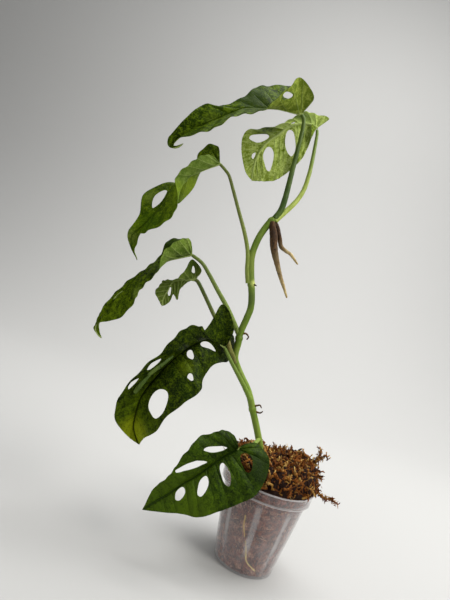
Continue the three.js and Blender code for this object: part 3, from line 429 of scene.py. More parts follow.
# Points are millimetres. The right half is on the right hand when the upper face is looked at with the tip
# away. Each edge starts at the stalk, goes round the basal lobe, which ends at lobeEnd of its length, and
# ends at the tip. Bulge is how far a half arches towards its upper face. A hole is [half, place along the
# edge, place across the half, reach along, reach across, slant].
leaves = [
    {
        "stalk": [[-19, 0, 109], [-25, -18, 108], [-33, -33, 107], [-40, -42, 106]],
        "stalkRadius": [2, 1.3], "lobeEnd": 0.22, "ripple": 1.2,
        "midrib": [[-40, -42, 106], [-50, -47, 98], [-59, -51, 88], [-67, -54, 79], [-76, -56, 70],
                   [-83, -57, 61], [-92, -57, 51], [-99, -56, 42]],
        "rightEdge": [[-40, -42, 106], [-46, -44, 116], [-57, -48, 119], [-67, -53, 114], [-75, -58, 109],
                      [-80, -61, 99], [-84, -62, 85], [-89, -62, 74], [-96, -60, 61], [-99, -56, 42]],
        "leftEdge": [[-40, -42, 106], [-27, -37, 114], [-12, -43, 104], [-16, -54, 82], [-29, -60, 71],
                     [-43, -62, 61], [-56, -63, 53], [-70, -62, 51], [-83, -60, 47], [-99, -56, 42]],
        "holes": [["right", 0.4, 0.46, 0.055, 0.2, 0.3], ["right", 0.61, 0.58, 0.042, 0.33, 0.26],
                  ["left", 0.285, 0.38, 0.042, 0.21, 0.1], ["left", 0.447, 0.34, 0.03, 0.25, 0.03],
                  ["left", 0.607, 0.32, 0.038, 0.2, 0.1], ["left", 0.76, 0.28, 0.034, 0.21, 0.05]],
        "rightBulge": [0, 2, 3, 3, 3, 3, 2, 1, 0, 0],
        "leftBulge": [0, 2, 4, 4, 3, 3, 2, 1, 0, 0],
    },
    {
        "stalk": [[-38, -2, 141], [-48, -6, 152], [-57, -9, 161], [-67, -12, 171], [-75, -14, 180]],
        "stalkRadius": [2.3, 1.5], "lobeEnd": 0.2, "ripple": 1.5,
        "midrib": [[-75, -14, 180], [-86, -20, 183], [-92, -24, 183], [-97, -28, 180], [-104, -32, 173],
                   [-110, -35, 165], [-115, -38, 157], [-119, -40, 150], [-123, -42, 140],
                   [-127, -43, 130], [-129, -43, 121], [-129, -42, 110], [-128, -40, 98], [-124, -38, 90],
                   [-119, -36, 83]],
        "rightEdge": [[-75, -14, 180], [-73, -18, 200], [-88, -19, 216], [-95, -28, 193],
                      [-100, -42, 193], [-109, -50, 189], [-118, -56, 179], [-125, -60, 161],
                      [-134, -60, 144], [-144, -57, 123], [-143, -50, 102], [-130, -42, 89],
                      [-119, -36, 83]],
        "leftEdge": [[-75, -14, 180], [-77, 0, 195], [-68, 7, 188], [-64, 9, 173], [-70, 3, 167],
                     [-80, -26, 164], [-85, -40, 152], [-84, -50, 143], [-94, -56, 131], [-103, -58, 119],
                     [-108, -54, 103], [-116, -44, 92], [-119, -36, 83]],
        "holes": [["right", 0.62, 0.8, 0.032, 0.1, 0], ["right", 0.71, 0.86, 0.022, 0.08, 0],
                  ["left", 0.395, 0.27, 0.031, 0.23, -0.1], ["left", 0.51, 0.22, 0.018, 0.15, 0],
                  ["left", 0.58, 0.63, 0.015, 0.09, 0], ["left", 0.755, 0.57, 0.055, 0.29, 0.03]],
        "rightBulge": [0, 1, 1, 0, 2, 3, 3, 2, 2, 1, 1, 0, 0],
        "leftBulge": [0, 0, 0, 0, 0, 2, 3, 3, 2, 1, 0, 0, 0],
    },
    {
        "stalk": [[-62, -2, 169], [-66, -8, 175], [-70, -12, 180], [-74, -12, 186], [-80, -8, 193],
                  [-92, 4, 203], [-108, 9, 220], [-117, 9, 229], [-121, 8, 230]],
        "stalkRadius": [2.1, 1.8], "lobeEnd": 0.22, "ripple": 0.6,
        "midrib": [[-121, 8, 230], [-126, 9, 229], [-132, 10, 227], [-138, 11, 225], [-141, 12, 220],
                   [-142, 13, 214], [-144, 13, 206], [-143, 12, 197]],
        "rightEdge": [[-121, 8, 230], [-119, 12, 233], [-125, 15, 228], [-129, 15, 223], [-132, 15, 216],
                      [-131, 15, 207], [-136, 14, 211], [-137, 14, 204], [-140, 13, 199], [-143, 12, 197]],
        "leftEdge": [[-121, 8, 230], [-117, 6, 240], [-128, 2, 247], [-131, -2, 234], [-136, -4, 225],
                     [-145, -2, 221], [-149, 2, 216], [-152, 5, 208], [-147, 8, 202], [-143, 12, 197]],
        "holes": [["right", 0.75, 0.34, 0.05, 0.26, 0], ["left", 0.22, 0.5, 0.035, 0.18, 0]],
        "rightBulge": [0, 0],
        "leftBulge": [0, 0, 0, 0, -1, -1, -1, -1, 0, 0],
    },
    {
        "stalk": [[-65, 0, 194], [-68.8, 0, 197.6], [-82.8, 1, 213.6], [-97.2, 2, 227.3],
                  [-109.4, 2, 239.1], [-118.5, 2, 246.7], [-130, 2, 251]],
        "stalkRadius": [2.5, 1.6], "lobeEnd": 0.18, "ripple": 0.8,
        "midrib": [[-130, 2, 251], [-141, -3, 244], [-147, -6, 240], [-152, -9, 235], [-158, -12, 229],
                   [-164, -15, 221], [-169, -17, 213], [-174, -19, 203], [-180, -20, 192],
                   [-184, -20, 179], [-188, -19, 168], [-188, -18, 161], [-185, -17, 157],
                   [-181, -16, 155]],
        "rightEdge": [[-130, 2, 251], [-138, 14, 262], [-147, 18, 264], [-157, 14, 257], [-158, 7, 242],
                      [-163, -2, 231], [-168, -10, 219], [-177, -15, 206], [-184, -19, 192],
                      [-188, -21, 176], [-189, -20, 166], [-189, -18, 160], [-181, -16, 155]],
        "leftEdge": [[-130, 2, 251], [-134, -8, 262], [-140, -14, 261], [-147, -20, 253],
                     [-151, -26, 241], [-150, -30, 226], [-156, -32, 214], [-159, -33, 203],
                     [-161, -32, 193], [-170, -28, 177], [-185, -22, 168], [-185, -18, 162],
                     [-181, -16, 155]],
        "holes": [["left", 0.3, 0.22, 0.022, 0.1, 0]],
        "rightBulge": [0, 0],
        "leftBulge": [0, -2, -3, -3, -1, 0, 1, 1, 1, 1, 0, 0, 0],
    },
    {
        "stalk": [[-72.5, -1.5, 241.5], [-76.9, -2, 253], [-79.9, -2, 264.4], [-83.3, -1, 273.4],
                  [-90.7, 0, 287], [-99.8, 1, 301.2], [-111.7, 2, 320], [-119, 2, 331], [-124, 1, 335],
                  [-131, 0, 339]],
        "stalkRadius": [2.1, 1.4], "lobeEnd": 0.16, "ripple": 0.8,
        "midrib": [[-131, 0, 339], [-139, -3, 332], [-146, -6, 325], [-152, -8, 319], [-157, -10, 313],
                   [-162, -12, 307], [-164, -14, 299], [-166, -16, 287], [-169, -18, 276],
                   [-174, -19, 264], [-180, -19, 255], [-183, -19, 249], [-180, -18, 240],
                   [-173, -15, 230]],
        "rightEdge": [[-131, 0, 339], [-138, 8, 356], [-149, 14, 357], [-155, 16, 344], [-149, 12, 331],
                      [-148, 6, 315], [-156, 0, 292], [-162, 1, 309], [-177, -3, 303], [-187, -8, 289],
                      [-183, -16, 268], [-187, -20, 251], [-182, -18, 240], [-173, -15, 230]],
        "leftEdge": [[-131, 0, 339], [-138, -8, 341], [-145, -14, 338], [-151, -20, 330],
                     [-156, -24, 319], [-160, -28, 306], [-153, -32, 291], [-151, -34, 278],
                     [-156, -34, 266], [-169, -30, 256], [-176, -25, 251], [-176, -21, 244],
                     [-177, -18, 237], [-173, -15, 230]],
        "holes": [["right", 0.66, 0.31, 0.055, 0.22, 0]],
        "rightBulge": [0, 0],
        "leftBulge": [0, -1, -2, -3, -3, -2, 0, 0, 0, 0, 0, 0, 0, 0],
    },
    {
        "stalk": [[-66, 0, 304], [-51, 8, 333], [-48, 13, 358], [-51, 20, 396], [-53, 22, 407]],
        "stalkRadius": [2.6, 1.5], "lobeEnd": 0.2, "ripple": 0.8,
        "midrib": [[-54, 22, 408], [-62, 20, 408], [-73, 16, 403], [-81, 12, 395], [-87, 9, 385],
                   [-93, 7, 377], [-98, 6, 367], [-100, 6, 357], [-100, 6, 346], [-98, 7, 335]],
        "rightEdge": [[-54, 22, 408], [-60, 14, 406], [-57, 12, 390], [-59, 10, 372], [-65, 8, 359],
                      [-71, 6, 349], [-78, 5, 341], [-86, 5, 338], [-93, 6, 336], [-98, 7, 335]],
        "leftEdge": [[-54, 22, 408], [-45, 24, 422], [-58, 32, 425], [-70, 34, 425], [-80, 30, 413],
                     [-89, 24, 400], [-105, 18, 390], [-118, 12, 379], [-117, 8, 362], [-107, 6, 342],
                     [-98, 7, 335]],
        "holes": [["right", 0.5, 0.38, 0.055, 0.32, -0.1], ["right", 0.735, 0.43, 0.05, 0.32, -0.03],
                  ["left", 0.46, 0.26, 0.02, 0.08, 0], ["left", 0.715, 0.45, 0.042, 0.31, 0.03],
                  ["left", 0.84, 0.3, 0.018, 0.11, 0]],
        "rightBulge": [0, 0],
        "leftBulge": [0, 0, -1, -2, -2, -1, 0, 0, 0, 0],
    },
    {
        "stalk": [[-67, 0, 306], [-63.8, 1, 315.5], [-63.4, 2, 327.8], [-63.8, 3, 335.8], [-65, 4, 357],
                  [-67, 6, 392], [-69, 6, 404], [-73, 6, 409]],
        "stalkRadius": [3, 1.6], "lobeEnd": 0.2, "ripple": 0.8,
        "midrib": [[-73, 6, 409], [-85, 1, 406], [-97, -3, 403], [-110, -7, 397], [-123, -11, 391],
                   [-134, -14, 381], [-146, -17, 369], [-158, -19, 358], [-169, -20, 348],
                   [-175, -20, 340], [-177, -20, 336], [-173, -19, 334], [-168, -19, 336],
                   [-165, -20, 340]],
        "rightEdge": [[-73, 6, 409], [-73, 14, 425], [-81, 22, 436], [-91, 24, 440], [-108, 16, 431],
                      [-121, 6, 421], [-129, -4, 402], [-143, -12, 386], [-158, -18, 380],
                      [-169, -22, 362], [-178, -23, 339], [-174, -20, 333], [-165, -20, 340]],
        "leftEdge": [[-73, 6, 409], [-67, -4, 423], [-84, -14, 431], [-91, -24, 415], [-97, -33, 399],
                     [-104, -38, 384], [-116, -39, 376], [-128, -39, 368], [-139, -38, 356],
                     [-152, -34, 349], [-169, -26, 340], [-172, -20, 335], [-165, -20, 340]],
        "holes": [["left", 0.285, 0.78, 0.042, 0.16, 0.06], ["right", 0.275, 0.62, 0.034, 0.15, 0]],
        "rightBulge": [0, 0],
        "leftBulge": [0, 0],
    },
]


def along(points, t):  # an evenly spaced Catmull-Rom curve, at t from 0 to 1
    points = np.asarray(points, float)
    points = points.reshape(len(points), -1)
    last = len(points) - 1
    x = np.clip(np.atleast_1d(t), 0, 1) * last
    i = np.minimum(np.floor(x).astype(int), last - 1)
    u = (x - i)[:, None]
    padded = np.vstack([2 * points[0] - points[1], points, 2 * points[-1] - points[-2]])
    a, b, c, d = padded[i], padded[i + 1], padded[i + 2], padded[i + 3]
    bend = (2 * a - 5 * b + 4 * c - d) * u * u + (3 * b - a - 3 * c + d) * u ** 3
    return 0.5 * (2 * b + (c - a) * u + bend)


def evenly(points, spacing):  # the curve's points at an even spacing, with their shares of its length
    dense = along(points, np.linspace(0, 1, 60 * len(points)))
    lengths = np.concatenate([[0], np.cumsum(np.linalg.norm(np.diff(dense, axis=0), axis=1))])
    count = max(4, int(round(lengths[-1] / spacing)))
    shares = np.linspace(0, 1, count + 1)
    places = np.stack([np.interp(shares * lengths[-1], lengths, dense[:, k]) for k in range(3)], axis=1)
    return places, shares


def midribAt(curve, share):
    shares, places = curve

    def at(value):
        return np.stack([np.interp(value, shares, places[:, k]) for k in range(3)], axis=1)

    tangent = at(np.minimum(share + 0.01, 1)) - at(np.maximum(share - 0.01, 0))
    return at(share), tangent / np.linalg.norm(tangent, axis=1, keepdims=True)


def veinMarks(leaf, half):  # where side veins meet the edge: clear of the holes, evenly spaced elsewhere
    step = leafLook["veinSpacing"]
    marks = [0.0]

    def fillTo(low):
        count = max(1, round((low - marks[-1]) / step))
        start = marks[-1]
        marks.extend(start + (low - start) * k / count for k in range(1, count + 1))

    for hole in sorted(h for h in leaf["holes"] if h[0] == half):
        low, high = hole[1] - hole[3] - 0.012, hole[1] + hole[3] + 0.012
        if low - marks[-1] < 0.5 * step and len(marks) > 1:
            marks[-1] = (marks[-1] + low) / 2
        else:
            fillTo(low)
        marks.append(high)
    fillTo(1.0)
    return marks


def leafSurface(leaf, curve, half, t, s):
    side = 1 if half == "right" else -1
    share = np.maximum(0, (t - leaf["lobeEnd"]) / (1 - leaf["lobeEnd"])) ** 1.3
    start, tangent = midribAt(curve, share)
    across = along(leaf[half + "Edge"], t) - start
    normal = np.cross(across, tangent) * side
    normal /= np.maximum(np.linalg.norm(normal, axis=1, keepdims=True), 1e-6)
    width = np.linalg.norm(across, axis=1)
    bulge = along(leaf[half + "Bulge"], t)[:, 0]
    wave = leaf["ripple"] * s * s * np.sin(math.pi * t) * np.sin(8 * math.pi * t + side)
    marks = veinMarks(leaf, half)
    passed = np.interp(t, marks, np.arange(len(marks)))
    fade = np.clip(width / 22, 0, 1)
    dome = np.abs(np.sin(math.pi * passed)) ** 0.8 - 0.5
    quilt = leafLook["pucker"] * dome * np.sin(math.pi * s ** 0.8) * fade
    frill = leafLook["frill"] * s ** 5 * np.sin(2 * math.pi * passed + 2 * side) * fade
    groove = -leafLook["groove"] * np.exp(-(width * s / leafLook["ribReach"]) ** 2)
    lift = 4 * bulge * s * (1 - s) + wave + quilt + frill + groove
    return start + across * s[:, None] + normal * lift[:, None], width * s, share, passed


def leafCells(leaf, half):  # the half as cells with corners (t, s), laid in rings round each hole
    rows, columns, rings = leafLook["rows"], leafLook["columns"], leafLook["holeRings"]
    columnAt = [(j / columns) ** 1.5 for j in range(columns + 1)]
    cells, taken = [], set()
    for name, centreT, centreS, reachT, reachS, slant in leaf["holes"]:
        if name != half:
            continue
        reach = math.hypot(reachT * 1.1, slant * reachS)
        first = math.floor((centreT - reach) * rows - 1)
        end = math.ceil((centreT + reach) * rows + 1)
        taken.update(range(first, end))
        outer = [(i / rows, 0.0) for i in range(first, end)]
        outer += [(end / rows, columnAt[j]) for j in range(columns)]
        outer += [(i / rows, 1.0) for i in range(end, first, -1)]
        outer += [(first / rows, columnAt[j]) for j in range(columns, 0, -1)]
        middle, halfCount = (first + end) / 2 / rows, (end - first) / 2 / rows
        inner = []
        for t, s in outer:
            angle = math.atan2(2 * s - 1, (t - middle) / halfCount)
            rise = reachS * math.sin(angle)
            swell = 1 - 0.2 * math.sin(angle) + 0.09 * math.sin(3 * angle + 40 * centreT)
            inner.append((centreT + reachT * swell * math.cos(angle) + slant * rise, centreS + rise))
        for ring in range(rings):
            near, far = (ring / rings) ** 0.8, ((ring + 1) / rings) ** 0.8
            for i in range(len(outer)):
                j = (i + 1) % len(outer)
                cells.append([tuple(a * (1 - f) + b * f for a, b in zip(outer[k], inner[k]))
                              for k, f in ((i, near), (j, near), (j, far), (i, far))])
    for i in range(rows):
        if i in taken:
            continue
        for j in range(columns):
            cells.append([(i / rows, columnAt[j]), ((i + 1) / rows, columnAt[j]),
                          ((i + 1) / rows, columnAt[j + 1]), (i / rows, columnAt[j + 1])])
    return cells


def makeLeaf(name, leaf, material):
    places, shares = evenly(leaf["midrib"], 0.5)
    curve = (shares, places)
    known, vertices, cells = {}, [], []
    for half in ("right", "left"):
        for corners in leafCells(leaf, half):
            ring = []
            for t, s in corners:
                if t > 1 - 1e-7:
                    key = ("rib", 1.0)
                elif s < 1e-7 or t < 1e-7:
                    key = ("rib", round(max(t, leaf["lobeEnd"]), 6))
                else:
                    key = (half, round(t, 6), round(s, 6))
                if key not in known:
                    known[key] = len(vertices)
                    onRib = key[0] == "rib"
                    vertices.append((half, key[1] if onRib else t, 0.0 if onRib else s))
                if all(known[key] != corner[0] for corner in ring):
                    ring.append((known[key], t, s))
            if len(ring) > 2:
                cells.append((half, ring[::-1] if half == "right" else ring))
    count = len(vertices)
    points, offRib, share = np.zeros((count, 3)), np.zeros(count), np.zeros(count)
    for half in ("right", "left"):
        here = np.array([i for i, v in enumerate(vertices) if v[0] == half])
        t, s = np.array([vertices[i][1] for i in here]), np.array([vertices[i][2] for i in here])
        points[here], offRib[here], share[here], _ = leafSurface(leaf, curve, half, t, s)
    normals = np.zeros((count, 3))
    for _, ring in cells:
        a, b, c = (points[corner[0]] for corner in (ring[0], ring[1], ring[-1]))
        turn = np.cross(b - a, c - a)
        for corner in ring:
            normals[corner[0]] += turn
    normals /= np.maximum(np.linalg.norm(normals, axis=1, keepdims=True), 1e-9)
    halfThick = leafLook["thickness"] / 2
    keel = leafLook["keel"] * (1 - 0.8 * share) * np.exp(-(offRib / leafLook["ribReach"]) ** 2)
    under = points - normals * (halfThick + keel)[:, None]
    both = np.vstack([points + normals * halfThick, under]) * mm
    faces, veinMap, bladeMap = leafFaces(leaf, curve, cells, count)
    leafObject = makeObject(name, both, faces, material)
    mesh = leafObject.data
    for mapName, values in (("veins", veinMap), ("blade", bladeMap)):
        mesh.uv_layers.new(name=mapName).data.foreach_set("uv", np.asarray(values, np.float32).ravel())
    below = mesh.attributes.new("underside", "FLOAT", "POINT")
    below.data.foreach_set("value", np.repeat([0.0, 1.0], count))
    mesh.set_sharp_from_angle(angle=math.radians(50))
    return leafObject


def leafFaces(leaf, curve, cells, count):  # both faces and the walls at the borders, with their two UV maps
    corners = [(half, t, s) for half, ring in cells for _, t, s in ring]
    maps = np.zeros((len(corners), 4))
    for half in ("right", "left"):
        here = np.array([i for i, corner in enumerate(corners) if corner[0] == half])
        t, s = np.array([corners[i][1] for i in here]), np.array([corners[i][2] for i in here])
        place, offRib, _, passed = leafSurface(leaf, curve, half, t, s)
        ahead, _, _, passedAhead = leafSurface(leaf, curve, half, np.minimum(t + 0.004, 1), s)
        behind, _, _, passedBehind = leafSurface(leaf, curve, half, np.maximum(t - 0.004, 0), s)
        spacing = np.linalg.norm(ahead - behind, axis=1) / np.maximum(passedAhead - passedBehind, 1e-6)
        maps[here] = np.stack([passed, spacing, offRib * (1 if half == "right" else -1), t], axis=1)
    faces, order, borders, at = [], [], {}, 0
    for _, ring in cells:
        indices = [corner[0] for corner in ring]
        faces.append(indices)
        order.append(list(range(at, at + len(ring))))
        for k in range(len(ring)):
            borders[(indices[k], indices[(k + 1) % len(ring)])] = (at + k, at + (k + 1) % len(ring))
        at += len(ring)
    for k in range(len(faces)):
        faces.append([index + count for index in reversed(faces[k])])
        order.append(order[k][::-1])
    for (p, q), (mapP, mapQ) in borders.items():
        if (q, p) not in borders:
            faces.append([p, p + count, q + count, q])
            order.append([mapP, mapP, mapQ, mapQ])
    flat = maps[[index for ring in order for index in ring]]
    return faces, flat[:, :2], flat[:, 2:]


for number, (leaf, tones) in enumerate(zip(leaves, leafTones), 1):
    blade = makeLeaf(f"leafBlade{number}", leaf, leafMaterial(f"leafSkin{number}", tones))
    finish(blade, "leaf", f"leaf_{number}")
print("leaf blades made:", len(leaves))


# Geometry Nodes: a tree takes and gives back geometry, and its other inputs are set by their identifiers
def newTree(name, inputs):
    tree = bpy.data.node_groups.new(name, "GeometryNodeTree")
    tree.interface.new_socket("Geometry", in_out="INPUT", socket_type="NodeSocketGeometry")
    keys = {}
    for label, kind, value in inputs:
        socket = tree.interface.new_socket(label, in_out="INPUT", socket_type="NodeSocket" + kind)
        if value is not None:
            socket.default_value = value
        keys[label] = socket.identifier
    tree.interface.new_socket("Geometry", in_out="OUTPUT", socket_type="NodeSocketGeometry")
    return tree, keys, addNode(tree, "NodeGroupInput").outputs, addNode(tree, "NodeGroupOutput").inputs


def bake(source, name):  # turns an object with a modifier into a plain mesh of its own
    bpy.context.view_layer.update()
    graph = bpy.context.evaluated_depsgraph_get()
    mesh = bpy.data.meshes.new_from_object(source.evaluated_get(graph), depsgraph=graph)
    made = bpy.data.objects.new(name, mesh)
    bpy.context.scene.collection.objects.link(made)
    bpy.data.objects.remove(source)
    return made


def runTree(tree, keys, source, name, values):  # the plain mesh that a tree makes of an object
    modifier = source.modifiers.new(name, "NODES")
    modifier.node_group = tree
    for label, value in values.items():
        modifier[keys[label]] = value
    return bake(source, name)


def makeSweepTree():  # a round section along curves that carry their own radius, with a knobbly skin
    tree, keys, given, out = newTree("roundSweep", [
        ("Sides", "Int", 20), ("Relief", "Float", 0.0002), ("Relief Scale", "Float", 200.0),
        ("Seed", "Float", 0.0), ("Skin", "Material", None)])
    marked = addNode(tree, "GeometryNodeStoreNamedAttribute", {"Name": "along"}, data_type="FLOAT",
                     domain="POINT")
    parameter = addNode(tree, "GeometryNodeSplineParameter")
    circle = addNode(tree, "GeometryNodeCurvePrimitiveCircle", {"Radius": 1.0})
    sweep = addNode(tree, "GeometryNodeCurveToMesh", {"Fill Caps": True})
    radius = addNode(tree, "GeometryNodeInputRadius")
    position = addNode(tree, "GeometryNodeInputPosition")
    normal = addNode(tree, "GeometryNodeInputNormal")
    bumps = addNode(tree, "ShaderNodeTexNoise", {"Detail": 3.0}, noise_dimensions="4D")
    offset = addNode(tree, "ShaderNodeVectorMath", operation="SCALE")
    moved = addNode(tree, "GeometryNodeSetPosition")
    smooth = addNode(tree, "GeometryNodeSetShadeSmooth")
    whole = addNode(tree, "GeometryNodeRealizeInstances")
    skinned = addNode(tree, "GeometryNodeSetMaterial")
    amount = times(tree, mathNode(tree, "SUBTRACT", bumps.outputs["Fac"], 0.5), given["Relief"])
    join(tree,
         (given["Geometry"], marked.inputs["Geometry"]),
         (parameter.outputs["Factor"], marked.inputs["Value"]),
         (marked.outputs["Geometry"], sweep.inputs["Curve"]), (given["Sides"], circle.inputs["Resolution"]),
         (circle.outputs["Curve"], sweep.inputs["Profile Curve"]),
         (radius.outputs[0], sweep.inputs["Scale"]),
         (given["Relief Scale"], bumps.inputs["Scale"]), (given["Seed"], bumps.inputs["W"]),
         (position.outputs[0], bumps.inputs["Vector"]),
         (normal.outputs[0], offset.inputs[0]), (amount, offset.inputs["Scale"]),
         (sweep.outputs["Mesh"], moved.inputs["Geometry"]), (offset.outputs[0], moved.inputs["Offset"]),
         (moved.outputs["Geometry"], smooth.inputs["Geometry"]),
         (smooth.outputs["Geometry"], whole.inputs["Geometry"]),
         (whole.outputs["Geometry"], skinned.inputs["Geometry"]),
         (given["Skin"], skinned.inputs["Material"]),
         (skinned.outputs["Geometry"], out["Geometry"]))
    return tree, keys


sweepTree, sweepKeys = makeSweepTree()


def makeSweep(name, lines, material, spacing, values):
    curves = bpy.data.curves.new(name + "Line", "CURVE")
    curves.dimensions = "3D"
    for line, radii in lines:
        places, shares = evenly(line, spacing)
        wide = radii(shares, places)
        spline = curves.splines.new("POLY")
        spline.points.add(len(places) - 1)
        for k, point in enumerate(spline.points):
            point.co = (*(places[k] * mm), 1)
            point.radius = float(wide[k]) * mm
    source = bpy.data.objects.new(name + "Line", curves)
    bpy.context.scene.collection.objects.link(source)
    return runTree(sweepTree, sweepKeys, source, name, {**values, "Skin": material})


def rounded(radii):  # radii along a line whose far end is drawn in to a blunt point
    def at(shares, places):
        wide = along(radii, shares)[:, 0]
        length = np.linalg.norm(np.diff(places, axis=0), axis=1).sum()
        near = np.clip((1 - shares) * length / wide, 0.03, 1)
        return wide * np.sqrt(1 - (1 - near) ** 2)

    return at


# Streaks along a stem, small scars across it and broad changes of shade
def makeGrowthGroup():
    group, given, out = newGroup(
        "growthMarks", [("Seed", 0.0), ("Streak Size", 500.0), ("Scar Share", 0.1)],
        ["Streaks", "Scars", "Shade"])
    place = objectCoordinates(group)
    stretch = addNode(group, "ShaderNodeMapping", {"Scale": (1.0, 1.0, 0.16)})
    squash = addNode(group, "ShaderNodeMapping", {"Scale": (1.0, 1.0, 2.4)})
    join(group, (place, stretch.inputs[0]), (place, squash.inputs[0]))
    streaks = noiseNode(group, stretch.outputs[0], given["Streak Size"], 3.0, 0.6, given["Seed"])
    scarSize = times(group, given["Streak Size"], 0.5)
    scars = noiseNode(group, squash.outputs[0], scarSize, 3.0, 0.55, given["Seed"])
    level = mathNode(group, "MULTIPLY_ADD", given["Scar Share"], -0.4, 0.72)
    shade = noiseNode(group, place, 60.0, 2.0, 0.5, given["Seed"])
    join(group, (ramp(group, streaks, 0.35, 0.65), out["Streaks"]),
         (ramp(group, scars, level, mathNode(group, "ADD", level, 0.06)), out["Scars"]),
         (ramp(group, shade, 0.35, 0.65), out["Shade"]))
    return group


growthGroup = makeGrowthGroup()
# What the skins of stem, stalks and roots have in common, unless one gives its own: a patch is
# [centre in millimetres, reach, colour, amount]
growthLook = {
    "scarShare": 0.1, "turnFrom": 0.2, "turnTo": 0.8, "streakShow": 0.4, "shadeShow": 0.3, "patches": [],
    "rough": 0.42, "relief": 0.0004, "gloss": 0.25,
}


def growthMaterial(name, own):
    look = {**growthLook, **own}
    material, tree, shader = newMaterial(name)
    marks = addNode(tree, "ShaderNodeGroup", {"Seed": look["seed"], "Scar Share": look["scarShare"]},
                    node_tree=growthGroup).outputs
    turn = ramp(tree, readAttribute(tree, "along"), look["turnFrom"], look["turnTo"])
    colour = mixColour(tree, turn, look["first"], look["last"])
    colour = layOver(tree, colour, marks["Streaks"], look["streakShow"], look["streak"])
    colour = layOver(tree, colour, marks["Shade"], look["shadeShow"], look["shade"])
    for place, reach, patch, amount in look["patches"]:
        colour = layOver(tree, colour, nearPlace(tree, place, reach), amount, patch)
    colour = mixColour(tree, marks["Scars"], colour, look["scar"])
    values = {"Base Color": colour, "Specular IOR Level": look["gloss"],
              "Roughness": mathNode(tree, "MULTIPLY_ADD", marks["Streaks"], 0.15, look["rough"])}
    relief = mathNode(tree, "SUBTRACT", marks["Streaks"], times(tree, marks["Scars"], 1.5))
    setShader(tree, shader, values, relief, 0.5, look["relief"])
    return material


stemLook = {
    "radius": 3.1, "swell": 0.55, "nodeLength": 3.0, "ringDepth": 0.3, "ringAway": 2.4, "ringLength": 0.8,
    "line": [[-9, 0, 70], [-11, 0, 86], [-14.5, 0, 98], [-17.6, 0, 105.6], [-26, 0, 121], [-32.5, 0, 132],
             [-37, 0, 140], [-43, 1, 149], [-51, 1, 157.5], [-58, 1, 165.5], [-63, 0, 173.5],
             [-64, 0, 186], [-65, 0, 196], [-63.5, 0, 211], [-63, 0, 221], [-65.6, 0, 232],
             [-69, 0, 241.5], [-73.1, 0, 253.3], [-76.4, 0, 265.3], [-76.7, 0, 275.7], [-74.9, 0, 288],
             [-70.8, 0, 300], [-67.5, 0, 305.5]],
    "nodes": [[-33, 0, 133], [-64.5, 0, 191], [-69, 0, 241.5], [-69, 0, 303]],
    "spacing": 0.8, "sweep": {"Sides": 28, "Relief": 0.0004, "Relief Scale": 140.0},
    "skin": {"seed": 11.0, "first": tone(0.44, 0.54, 0.16), "last": tone(0.38, 0.48, 0.12),
             "turnFrom": 0.3, "turnTo": 0.6, "streak": tone(0.3, 0.4, 0.1), "shade": tone(0.55, 0.6, 0.28),
             "scar": tone(0.35, 0.24, 0.12), "scarShare": 0.12, "rough": 0.4,
             "patches": [[(-67, -2, 243), 5, tone(0.76, 0.8, 0.42), 0.9],
                         [(-66, 0, 228), 12, tone(0.2, 0.28, 0.08), 0.6],
                         [(-74, -2, 262), 14, tone(0.55, 0.6, 0.25), 0.4]]},
}
rootEndLook = {
    "lines": [[[-33, 0, 136], [-30, -2, 138], [-28, -3, 139], [-26, -4, 137]],
              [[-31, 0, 132], [-27, -2, 132], [-25, -3, 133], [-24, -4, 135]],
              [[-63, 0, 196], [-60, -2, 197], [-57, -3, 195], [-58, -4, 192]],
              [[-68, 0, 241], [-66, -3, 242], [-64, -3, 241.5]]],
    "radii": [1.1, 0.8, 0.5], "spacing": 0.5,
    "sweep": {"Sides": 12, "Relief": 0.0006, "Relief Scale": 600.0},
    "skin": {"seed": 12.0, "first": tone(0.4, 0.3, 0.16), "last": tone(0.2, 0.13, 0.07),
             "streak": tone(0.5, 0.4, 0.24), "shade": tone(0.3, 0.2, 0.1), "scar": tone(0.14, 0.1, 0.06),
             "rough": 0.7, "scarShare": 0.3},
}
stalkLook = {
    "spacing": 1.0, "relief": 0.00025,
    "common": {"shade": tone(0.42, 0.5, 0.2), "scar": tone(0.34, 0.24, 0.12), "scarShare": 0.05},
    "skins": [
        {"first": tone(0.5, 0.58, 0.24), "last": tone(0.36, 0.44, 0.16), "streak": tone(0.34, 0.42, 0.14)},
        {"first": tone(0.46, 0.56, 0.2), "last": tone(0.4, 0.48, 0.18), "streak": tone(0.3, 0.4, 0.12)},
        {"first": tone(0.46, 0.44, 0.22), "last": tone(0.26, 0.36, 0.1), "streak": tone(0.38, 0.28, 0.14)},
        {"first": tone(0.5, 0.58, 0.24), "last": tone(0.38, 0.44, 0.18), "streak": tone(0.32, 0.38, 0.14)},
        {"first": tone(0.5, 0.56, 0.24), "last": tone(0.36, 0.4, 0.18), "streak": tone(0.36, 0.36, 0.14)},
        {"first": tone(0.7, 0.75, 0.36), "last": tone(0.4, 0.48, 0.18), "streak": tone(0.46, 0.54, 0.2)},
        {"first": tone(0.2, 0.3, 0.07), "last": tone(0.26, 0.34, 0.1), "streak": tone(0.16, 0.24, 0.05)},
    ],
}
